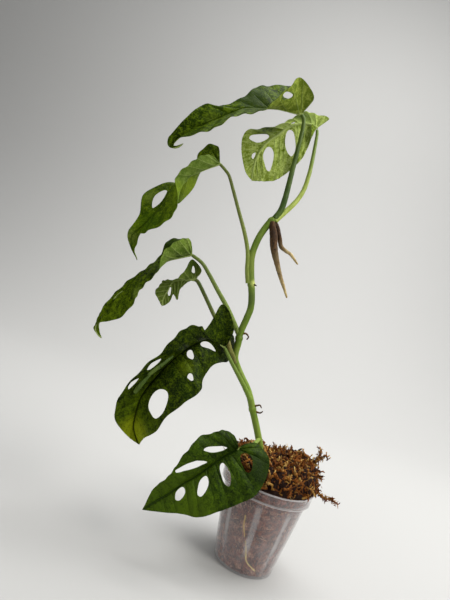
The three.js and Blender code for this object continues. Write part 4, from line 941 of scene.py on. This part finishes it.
tongueLook = {
    "lines": [[[-114, -47.5, 163.5], [-118, -49.5, 158], [-123, -52, 151], [-128, -53.5, 143.5]],
              [[-126.5, -53.5, 144], [-129.5, -54, 138], [-132, -53.5, 132], [-134, -52.5, 126.5]]],
    "radii": [0.9, 1.8, 2.1, 1.7], "spacing": 0.6, "sweep": {"Relief": 0.0009, "Relief Scale": 260.0},
    "skin": {"seed": 31.0, "first": tone(0.25, 0.34, 0.08), "last": tone(0.33, 0.41, 0.12),
             "streak": tone(0.14, 0.22, 0.05), "shade": tone(0.4, 0.47, 0.22),
             "scar": tone(0.1, 0.16, 0.03), "rough": 0.5, "scarShare": 0.2, "relief": 0.0006,
             "streakShow": 0.6},
}
hangingRootLook = {
    "lines": [[[-68.5, -1, 302], [-63.3, -3, 290], [-60.4, -4, 281], [-54.4, -5, 269.2], [-46.4, -5, 256.3],
               [-40.3, -4, 248], [-34.3, -3, 239.5]],
              [[-66, 1, 303], [-62.8, 1, 300], [-57, 1, 290], [-53.3, 2, 283.5], [-47.3, 3, 281],
               [-42.1, 4, 279.3], [-33, 6, 273]]],
    "radii": [[2.8, 3.6, 3.4, 2.7, 2, 1.5, 0.8], [1.9, 2.2, 2.1, 2.0, 1.6, 1.3, 0.7]],
    "spacing": 0.6, "sweep": {"Sides": 32, "Relief": 0.0009, "Relief Scale": 420.0},
    "skin": {"first": tone(0.17, 0.11, 0.06), "last": tone(0.8, 0.72, 0.5), "turnFrom": 0.25,
             "turnTo": 0.95, "streak": tone(0.46, 0.33, 0.2), "shade": tone(0.26, 0.17, 0.1),
             "scar": tone(0.12, 0.08, 0.05), "scarShare": 0.25, "rough": 0.75, "relief": 0.0008,
             "streakShow": 0.5},
}


def stemRadius(shares, places):  # swollen at each node, with a ring pressed in beside it
    look = stemLook
    wide = np.full(len(places), look["radius"], float)
    for node in look["nodes"]:
        away = np.linalg.norm(places - np.array(node), axis=1)
        wide += look["swell"] * np.exp(-(away / look["nodeLength"]) ** 2)
        wide -= look["ringDepth"] * np.exp(-((away - look["ringAway"]) / look["ringLength"]) ** 2)
    return wide


def makeGrown(name, look, skinName):  # all the lines of a look, with one row of radii, in one piece
    lines = [(line, rounded(look["radii"])) for line in look["lines"]]
    return makeSweep(name, lines, growthMaterial(skinName, look["skin"]), look["spacing"], look["sweep"])


stem = makeSweep("climbingStem", [(stemLook["line"], stemRadius)],
                 growthMaterial("stemSkin", stemLook["skin"]), stemLook["spacing"], stemLook["sweep"])
finish(stem, "stem", "vine_stem")
finish(makeGrown("rootEnds", rootEndLook, "dryRootEnd"), "root")
for number, (leaf, skin) in enumerate(zip(leaves, stalkLook["skins"]), 1):
    material = growthMaterial(f"stalkSkin{number}", {**stalkLook["common"], **skin, "seed": 20.0 + number})
    stalk = makeSweep(f"leafStalk{number}", [(leaf["stalk"], rounded(leaf["stalkRadius"]))], material,
                      stalkLook["spacing"], {"Relief": stalkLook["relief"], "Seed": number})
    finish(stalk, "stalk", f"leaf_stalk_{number}")
finish(makeGrown("rolledTongues", tongueLook, "tongueSkin"), "leaf")
for number, (line, radii) in enumerate(zip(hangingRootLook["lines"], hangingRootLook["radii"]), 1):
    material = growthMaterial(f"rootSkin{number}", {**hangingRootLook["skin"], "seed": 40.0 + number})
    hanging = makeSweep(f"hangingRoot{number}", [(line, rounded(radii))], material,
                        hangingRootLook["spacing"], {**hangingRootLook["sweep"], "Seed": number})
    finish(hanging, "root", f"aerial_root_{number}")
print("stem, stalks and roots made")


# The pot: one turned profile in millimetres, its tapered wall pressed in at the flutes
potLook = {
    "height": 79.0, "baseRadius": 27.4, "shoulderRadius": 38.4, "rimRadius": 42.5, "bandHeight": 10.5,
    "wall": 0.9, "floor": 1.0, "foot": 1.2, "sides": 240,
    "flutes": 8, "fluteDepth": 0.7, "fluteWidth": 0.35, "fluteTurn": -0.19,
    "drainHoles": 6, "drainRadius": 3.0, "drainCircle": 17.0, "floorRings": [22.5, 17.0, 11.0, 4.0],
    "plastic": tone(0.84, 0.82, 0.82), "haze": 0.035, "edge": 0.7, "beads": 0.4, "stripes": 0.38,
    "rough": 0.12, "ior": 1.55, "gloss": 0.9, "mostOpaque": 0.95,
}


def smoothStep(value, low, high):
    share = np.clip((value - low) / (high - low), 0, 1)
    return share * share * (3 - 2 * share)


def fluteAt(angle):  # how far the wall is pressed in at an angle round the pot
    wave = np.cos(potLook["flutes"] * (angle - potLook["fluteTurn"]))
    press = np.maximum(0, (wave - 1 + potLook["fluteWidth"]) / potLook["fluteWidth"])
    return potLook["fluteDepth"] * press


def flutedShare(z):
    top = potLook["height"] - potLook["bandHeight"]
    return smoothStep(z, potLook["foot"] * 2, potLook["foot"] * 6) * (1 - smoothStep(z, top - 5, top - 1))


def innerRadius(z):
    look = potLook
    top = look["height"] - look["bandHeight"]
    share = (z - look["foot"]) / (top - look["foot"])
    return look["baseRadius"] - look["wall"] + (look["shoulderRadius"] - look["baseRadius"]) * share


def turned(profile, sides):  # rings of points round the Z axis, pressed in by the flutes, and their faces
    angles = np.arange(sides) * 2 * math.pi / sides
    rings, faces = [], []
    for radius, z in profile:
        pressed = radius - (fluteAt(angles) * flutedShare(z) if radius > potLook["baseRadius"] - 4 else 0)
        ring = [pressed * np.cos(angles), pressed * np.sin(angles), np.full(sides, float(z))]
        rings.append(np.stack(ring, axis=1))
    for low in range(0, (len(profile) - 1) * sides, sides):
        high = low + sides
        faces += [(low + k, low + (k + 1) % sides, high + (k + 1) % sides, high + k) for k in range(sides)]
    return np.vstack(rings), faces


def closeEnds(points, faces, sides):  # fans of faces round the middle of the first ring and of the last
    last = len(points) - sides
    points = np.vstack([points, [points[:sides].mean(0), points[last:].mean(0)]])
    for k in range(sides):
        following = (k + 1) % sides
        faces += [(len(points) - 2, following, k), (len(points) - 1, last + k, last + following)]
    return points, faces


def potMaterial():
    look = potLook
    material, tree, shader = newMaterial("clearPlastic")
    place = objectCoordinates(tree)
    haze = noiseNode(tree, place, 45.0, 4.0, 0.6, 3.0)
    scuffs = noiseNode(tree, place, 900.0, 2.0, 0.6, 5.0)
    facing = addNode(tree, "ShaderNodeLayerWeight", {"Blend": 0.25}).outputs["Facing"]
    alpha = mathNode(tree, "MULTIPLY_ADD", facing, look["edge"], look["haze"])
    alpha = mathNode(tree, "ADD", alpha, mathNode(tree, "MULTIPLY_ADD", haze, 0.2, -0.09))
    x, y, z = splitVector(tree, place)
    turn = mathNode(tree, "SUBTRACT", mathNode(tree, "ARCTAN2", y, x), look["fluteTurn"])
    flute = mathNode(tree, "COSINE", times(tree, turn, look["flutes"]))
    stripe = times(tree, ramp(tree, flute, 0.72, 0.95), ramp(tree, z, 0.012, 0.03))
    stripe = times(tree, stripe, ramp(tree, z, 0.06, 0.067, look["stripes"], 0.0))
    alpha = mathNode(tree, "ADD", alpha, times(tree, stripe, haze))
    for bead in (look["height"] - look["bandHeight"] + 0.4, look["height"] - 0.5):
        away = mathNode(tree, "ABSOLUTE", mathNode(tree, "SUBTRACT", z, bead * mm))
        alpha = mathNode(tree, "ADD", alpha, ramp(tree, away, 0.0004, 0.0011, look["beads"], 0.0))
    values = {"Base Color": look["plastic"], "IOR": look["ior"], "Specular IOR Level": look["gloss"],
              "Alpha": mathNode(tree, "MINIMUM", alpha, look["mostOpaque"]),
              "Roughness": mathNode(tree, "MULTIPLY_ADD", scuffs, 0.1, look["rough"] - 0.05)}
    setShader(tree, shader, values, haze, 0.15, 0.0004)
    return material


def potProfile(look):  # from the middle of the underside, up the outside, and down the inside to the middle
    step, top = look["height"] - look["bandHeight"], look["height"]
    base, shoulder, rim, wall = look["baseRadius"], look["shoulderRadius"], look["rimRadius"], look["wall"]
    band, foot, floor = rim - 1.2, look["foot"], look["floor"]
    heights = np.linspace(foot * 2, step - 1, 26)
    profile = [(radius, 0.0) for radius in reversed(look["floorRings"])]
    profile += [(base - foot, 0.0), (base - 0.35, 0.35), (base, foot)]
    profile += [(innerRadius(z) + wall, z) for z in heights]
    profile += [(shoulder, step - 0.2), (shoulder + 0.5, step + 0.1), (band - 0.5, step + 0.2),
                (band, step + 0.7), (band + 0.15, step + 3), (band + 0.55, top - 2.2),
                (band + 0.7, top - 1.3), (rim - 0.1, top - 1.0), (rim, top - 0.5), (rim - 0.15, top)]
    profile += [(rim - 1.2, top), (band - wall + 0.4, top - 1.2), (band - wall, step + 1.6),
                (shoulder - wall + 0.3, step + 1.1), (shoulder - wall, step + 0.6)]
    profile += [(innerRadius(z), z) for z in reversed(heights)]
    profile += [(base - wall, foot + 0.4), (base - wall - foot, floor)]
    return profile + [(radius, floor) for radius in look["floorRings"]]


def makePot(look):
    points, faces = closeEnds(*turned(potProfile(look), look["sides"]), look["sides"])
    shell = makeObject("potShell", points * mm, faces, potMaterial())
    drills = []
    for number in range(look["drainHoles"]):
        angle = 2 * math.pi * (number + 0.5) / look["drainHoles"]
        x, y = look["drainCircle"] * math.cos(angle) * mm, look["drainCircle"] * math.sin(angle) * mm
        bpy.ops.mesh.primitive_cylinder_add(
            vertices=40, radius=look["drainRadius"] * mm, depth=6 * look["floor"] * mm, location=(x, y, 0))
        drills.append(bpy.context.object)
        cut = shell.modifiers.new("drain", "BOOLEAN")
        cut.operation = "DIFFERENCE"
        cut.object = drills[-1]
        cut.solver = "EXACT"
    pot = bake(shell, "clearPot")
    for drill in drills:
        bpy.data.objects.remove(drill)
    pot.data.shade_smooth()
    pot.data.set_sharp_from_angle(angle=math.radians(40))
    finish(pot, "pot_plastic", "pot")


makePot(potLook)
print("pot made")


# The moss: a rough mound and the plug of it inside the pot, in millimetres, overgrown by strands in metres
mossLook = {
    "clear": 0.35, "top": 97.5, "crownRadius": 33.0, "shoulderZ": 94.0, "overhang": 41.0, "backDraw": 0.9,
    "lean": 0.22, "relief": 1.3, "clumps": 2.6, "clumpSize": 7.0, "tufts": 1.4, "tuftSize": 2.6,
    "sides": 260,
    # dark is the colour of the darker strands, and on the mound showing between them it is painted shade
    # for the gaps
    "dark": tone(0.15, 0.06, 0.01), "mid": tone(0.56, 0.31, 0.07), "light": tone(0.82, 0.56, 0.2),
    "pale": tone(0.94, 0.78, 0.44), "rough": 0.85, "gloss": 0.25,
    "plugDark": tone(0.3, 0.11, 0.07), "plugMid": tone(0.64, 0.34, 0.26), "plugPale": tone(1.0, 0.8, 0.66),
    "layers": {
        "mossSprigs": {"Density": 72000.0, "Length": 0.007, "Radius": 0.0013, "Steps": 12, "Sides": 6,
                       "Spread": 1.5, "Crumple": 0.0024, "Lowest": 0.0815, "Seed": 3},
        "mossThreads": {"Density": 22000.0, "Length": 0.009, "Radius": 0.0005, "Steps": 9, "Sides": 4,
                        "Spread": 1.5, "Crumple": 0.0022, "Lowest": 0.083, "Seed": 8},
        "pottedStrands": {"Density": 20000.0, "Length": 0.009, "Radius": 0.0006, "Steps": 8, "Sides": 4,
                          "Spread": 0.0, "Lift": 0.05, "Crumple": 0.0003, "Lowest": 0.014,
                          "Highest": 0.074, "Seed": 5},
    },
}
strayLook = {
    "lines": [[[33, 0, 100], [37, -1, 108], [38, -2, 115], [35, -2, 119]],
              [[34, 2, 101], [41, 2, 109], [44, 2, 113], [47, 1, 110]],
              [[36, -8, 94], [41, -8, 96], [45, -7, 92]],
              [[37, -10, 86], [44, -10, 82], [51, -9, 79], [58, -8, 79], [66, -7, 76]]],
    "radii": [1.1, 0.5], "spacing": 0.6, "tint": 0.6,
    "sweep": {"Sides": 12, "Relief": 0.0014, "Relief Scale": 500.0},
    "leaflets": {"Density": 900000.0, "Length": 0.0034, "Radius": 0.0007, "Steps": 5, "Sides": 4,
                 "Spread": 1.3, "Crumple": 0.0012, "Seed": 4},
}


def mossMaterial(look):
    material, tree, shader = newMaterial("dryMoss")
    place = objectCoordinates(tree)
    tint = readAttribute(tree, "tint")
    tipward = readAttribute(tree, "along")
    coarse = ramp(tree, noiseNode(tree, place, 130.0, 3.0, 0.6, 1.0), 0.35, 0.65)
    fine = ramp(tree, noiseNode(tree, place, 900.0, 3.0, 0.65, 2.0), 0.35, 0.68)
    lumps = ramp(tree, noiseNode(tree, place, 260.0, 4.0, 0.7, 6.0, 0.8), 0.4, 0.6)
    drawn = addNode(tree, "ShaderNodeMapping", {"Scale": (1.0, 1.0, 0.35), "Rotation": (0.4, 0.5, 0.0)})
    join(tree, (place, drawn.inputs[0]))
    fibre = ramp(tree, noiseNode(tree, drawn.outputs[0], 700.0, 4.0, 0.7, 4.0, 1.2), 0.42, 0.62)
    # Strands carry a random tint from dark to light. The mound stores no tint, so it reads 0 and takes the
    # dark colour: painted shade in the gaps between the strands.
    loose = mixColour(tree, ramp(tree, tint, 0.0, 0.3), look["dark"], look["mid"])
    loose = layOver(tree, loose, ramp(tree, tint, 0.4, 1.0), coarse, look["light"])
    loose = layOver(tree, loose, fine, 0.35, look["dark"])
    loose = layOver(tree, loose, times(tree, tipward, tipward), ramp(tree, tint, 0.5, 0.9), look["pale"])
    packed = mixColour(tree, lumps, look["plugDark"], look["plugMid"])
    packed = layOver(tree, packed, coarse, times(tree, fibre, lumps), look["plugPale"])
    packed = layOver(tree, packed, fine, 0.35, look["plugDark"])
    packed = layOver(tree, packed, ramp(tree, tint, 0.35, 1.0), coarse, look["plugPale"])
    above = ramp(tree, splitVector(tree, place)[2], 0.076, 0.08)
    values = {"Base Color": mixColour(tree, above, packed, loose), "Roughness": look["rough"],
              "Specular IOR Level": look["gloss"]}
    setShader(tree, shader, values, mathNode(tree, "ADD", fine, fibre), 0.8, 0.001)
    return material


def roughness(point, size, seed):
    return noise.noise(Vector(point) / size + Vector((seed, 2 * seed, 3 * seed)))


def mossProfile(look, pot):  # up the plug inside the pot, over the rim and in to the crown
    step, clear, rim = pot["height"] - pot["bandHeight"], look["clear"], pot["rimRadius"]
    floorRadius = pot["baseRadius"] - pot["wall"] - pot["foot"]
    profile = [(r, pot["floor"] + clear) for r in (0.6, 5, 10, 15, 20, floorRadius - clear)]
    profile += [(innerRadius(z) - clear - 0.1, z) for z in np.linspace(pot["foot"] + 0.9, step, 44)]
    profile += [(pot["shoulderRadius"] - pot["wall"] - clear, step + 1.25), (rim - 2.6, step + 2.2),
                (rim - 2.5, step + 5), (rim - 2.3, pot["height"] + clear)]
    over = [[rim - 2.3, pot["height"] + clear], [look["overhang"], pot["height"] + 2],
            [look["overhang"], pot["height"] + 6], [look["overhang"] - 1, pot["height"] + 11],
            [look["overhang"] - 4, look["shoulderZ"]], [look["crownRadius"], look["top"] - 1],
            [22, look["top"]], [11, look["top"]], [0.6, look["top"] - 0.5]]
    return profile + [tuple(p) for p in along(over, np.linspace(0, 1, 76))[1:]]


def makeMossMound(look, pot, material):
    points, faces = turned(mossProfile(look, pot), look["sides"])
    for index, (x, y, z) in enumerate(points):
        radius = math.hypot(x, y)
        if z < pot["height"] + 0.5:
            pressed = 0.5 + 0.5 * roughness((x, y, z), 4.0, 3.0)
            points[index, :2] *= 1 - 0.9 * pressed / radius * min(1, radius / 20)
            continue
        coarse = math.sin(0.42 * x + 0.21 * y) * math.sin(0.38 * y - 0.17 * z) * math.sin(0.3 * z + 0.2 * x)
        fine = math.sin(0.95 * x - 0.6 * z) * math.sin(0.9 * y + 0.5 * x)
        out = look["relief"] * (1.5 * coarse + 0.6 * fine)
        out += look["clumps"] * roughness((x, y, z), look["clumpSize"], 1.0)
        out += look["tufts"] * roughness((x, y, z), look["tuftSize"], 2.0)
        slope = smoothStep(z, look["shoulderZ"] - 8, look["top"])
        points[index, :2] *= 1 + out * (1 - slope) / radius * min(1, radius / 6)
        points[index, 2] += (out + look["lean"] * max(0, x)) * slope
        points[index, 1] *= look["backDraw"] if y > 0 else 1
    points, faces = closeEnds(points, faces, look["sides"])
    return makeObject("mossMound", points * mm, faces, material)


def makeStrandTree():  # bent, knobbly strands scattered over a surface between two heights
    tree, keys, given, out = newTree("mossStrands", [
        ("Density", "Float", 100000.0), ("Length", "Float", 0.008), ("Radius", "Float", 0.0003),
        ("Lowest", "Float", 0.0), ("Highest", "Float", 1.0), ("Steps", "Int", 6), ("Sides", "Int", 3),
        ("Spread", "Float", 1.0), ("Lift", "Float", 1.0), ("Crumple", "Float", 0.0), ("Seed", "Int", 1),
        ("Skin", "Material", None)])
    height = splitVector(tree, addNode(tree, "GeometryNodeInputPosition").outputs[0])[2]
    within = times(tree, mathNode(tree, "GREATER_THAN", height, given["Lowest"]),
                   mathNode(tree, "LESS_THAN", height, given["Highest"]))
    scatter = addNode(tree, "GeometryNodeDistributePointsOnFaces")
    bent = addNode(tree, "GeometryNodeCurveQuadraticBezier",
                   {"Start": (-0.1, 0, -0.15), "Middle": (0.1, 0.0, 0.62), "End": (0.8, 0.25, 0.4)})
    parameter = addNode(tree, "GeometryNodeSplineParameter").outputs["Factor"]
    marked = addNode(tree, "GeometryNodeStoreNamedAttribute", {"Name": "along"}, data_type="FLOAT",
                     domain="POINT")
    circle = addNode(tree, "GeometryNodeCurvePrimitiveCircle")
    sweep = addNode(tree, "GeometryNodeCurveToMesh", {"Fill Caps": True})
    thin = mathNode(tree, "DIVIDE", given["Radius"], given["Length"])
    taper = mathNode(tree, "MULTIPLY_ADD", parameter, -0.65, 1.0)
    knobs = mathNode(tree, "SINE", times(tree, parameter, 24.0))
    taper = times(tree, taper, mathNode(tree, "MULTIPLY_ADD", knobs, 0.35, 0.85))
    align = addNode(tree, "FunctionNodeAlignRotationToVector", axis="Z")
    turn = addNode(tree, "FunctionNodeRotateRotation", rotation_space="LOCAL")
    tilt = addNode(tree, "FunctionNodeEulerToRotation")
    angles = addNode(tree, "FunctionNodeRandomValue", {0: (-1.0, -1.0, -3.14), 1: (1.0, 1.0, 3.14)},
                     data_type="FLOAT_VECTOR")
    sizes = addNode(tree, "FunctionNodeRandomValue", {2: 0.45, 3: 1.25}, data_type="FLOAT")
    tints = addNode(tree, "FunctionNodeRandomValue", data_type="FLOAT")
    scaled = addNode(tree, "ShaderNodeVectorMath", operation="MULTIPLY")
    spread = addNode(tree, "ShaderNodeCombineXYZ", {"Z": 1.0})
    size = addNode(tree, "ShaderNodeCombineXYZ")
    place = addNode(tree, "GeometryNodeInstanceOnPoints")
    tinted = addNode(tree, "GeometryNodeStoreNamedAttribute", {"Name": "tint"}, data_type="FLOAT",
                     domain="INSTANCE")
    whole = addNode(tree, "GeometryNodeRealizeInstances")
    bumps = addNode(tree, "ShaderNodeTexNoise", {"Scale": 480.0, "Detail": 2.0})
    centred = addNode(tree, "ShaderNodeVectorMath", {1: (0.5, 0.5, 0.5)}, operation="SUBTRACT")
    pushed = addNode(tree, "ShaderNodeVectorMath", operation="SCALE")
    crumpled = addNode(tree, "GeometryNodeSetPosition")
    skinned = addNode(tree, "GeometryNodeSetMaterial")
    sizeSeed = mathNode(tree, "ADD", given["Seed"], 7.0)
    tintSeed = mathNode(tree, "ADD", sizeSeed, 5.0)
    grown = times(tree, sizes.outputs[1], given["Length"])
    join(tree,
         (given["Geometry"], scatter.inputs["Mesh"]), (within, scatter.inputs["Selection"]),
         (given["Density"], scatter.inputs["Density"]), (given["Seed"], scatter.inputs["Seed"]),
         (given["Steps"], bent.inputs["Resolution"]), (bent.outputs[0], marked.inputs["Geometry"]),
         (parameter, marked.inputs["Value"]), (thin, circle.inputs["Radius"]),
         (given["Sides"], circle.inputs["Resolution"]), (marked.outputs["Geometry"], sweep.inputs["Curve"]),
         (circle.outputs["Curve"], sweep.inputs["Profile Curve"]), (taper, sweep.inputs["Scale"]),
         (scatter.outputs["Points"], place.inputs["Points"]),
         (sweep.outputs["Mesh"], place.inputs["Instance"]),
         (scatter.outputs["Normal"], align.inputs["Vector"]),
         (given["Spread"], spread.inputs[0]), (given["Spread"], spread.inputs[1]),
         (angles.outputs[0], scaled.inputs[0]), (spread.outputs[0], scaled.inputs[1]),
         (scaled.outputs[0], tilt.inputs[0]), (align.outputs[0], turn.inputs[0]),
         (tilt.outputs[0], turn.inputs[1]), (turn.outputs[0], place.inputs["Rotation"]),
         (given["Seed"], angles.inputs["Seed"]), (sizeSeed, sizes.inputs["Seed"]),
         (tintSeed, tints.inputs["Seed"]), (grown, size.inputs[0]), (grown, size.inputs[1]),
         (times(tree, grown, given["Lift"]), size.inputs[2]), (size.outputs[0], place.inputs["Scale"]),
         (place.outputs["Instances"], tinted.inputs["Geometry"]),
         (tints.outputs[1], tinted.inputs["Value"]),
         (tinted.outputs["Geometry"], whole.inputs["Geometry"]),
         (whole.outputs["Geometry"], crumpled.inputs["Geometry"]),
         (bumps.outputs["Color"], centred.inputs[0]), (centred.outputs[0], pushed.inputs[0]),
         (given["Crumple"], pushed.inputs["Scale"]), (pushed.outputs[0], crumpled.inputs["Offset"]),
         (crumpled.outputs["Geometry"], skinned.inputs["Geometry"]),
         (given["Skin"], skinned.inputs["Material"]), (skinned.outputs["Geometry"], out["Geometry"]))
    return tree, keys


mossSkin = mossMaterial(mossLook)
mound = makeMossMound(mossLook, potLook, mossSkin)
strandTree, strandKeys = makeStrandTree()


def growStrands(name, surface, values):
    source = surface.copy()
    source.data = surface.data.copy()
    bpy.context.scene.collection.objects.link(source)
    grown = runTree(strandTree, strandKeys, source, name, {**values, "Skin": mossSkin})
    print(name, "triangles:", sum(len(face.vertices) - 2 for face in grown.data.polygons))
    finish(grown, "moss")


strays = makeSweep("mossStrays", [(line, rounded(strayLook["radii"])) for line in strayLook["lines"]],
                   mossSkin, strayLook["spacing"], strayLook["sweep"])
tints = strays.data.attributes.new("tint", "FLOAT", "POINT")
tints.data.foreach_set("value", np.full(len(strays.data.vertices), strayLook["tint"]))
for layerName, layer in mossLook["layers"].items():
    growStrands(layerName, mound, layer)
growStrands("strayLeaflets", strays, strayLook["leaflets"])
finish(strays, "moss")
finish(mound, "moss", "moss")
print("moss made")


# The root pressed against the wall of the pot from inside: its path holds (height, degrees round the pot)
wallRootLook = {
    "path": [[52, -27], [42, -25], [27, -14], [15, -6], [9.7, 8], [7, 18]], "radius": 0.9, "gap": 0.45,
    "spacing": 0.7, "sweep": {"Sides": 14, "Relief": 0.0003},
    "skin": {"seed": 50.0, "first": tone(0.86, 0.7, 0.36), "last": tone(0.96, 0.86, 0.58),
             "streak": tone(0.7, 0.54, 0.26), "shade": tone(0.9, 0.8, 0.5), "scar": tone(0.5, 0.36, 0.18),
             "rough": 0.6, "scarShare": 0.1},
}


def wallRootLine(look):
    line = []
    for z, degrees in look["path"]:
        angle = math.radians(degrees - 90)
        wall = innerRadius(z) - float(fluteAt(angle) * flutedShare(z))
        radius = wall - look["gap"] - look["radius"]
        line.append([radius * math.cos(angle), radius * math.sin(angle), z])
    return line


wallRoot = makeSweep("potWallRoot", [(wallRootLine(wallRootLook), rounded([wallRootLook["radius"]] * 2))],
                     growthMaterial("paleRoot", wallRootLook["skin"]), wallRootLook["spacing"],
                     wallRootLook["sweep"])
finish(wallRoot, "root_pale", "wall_root")
print("root in the pot made")
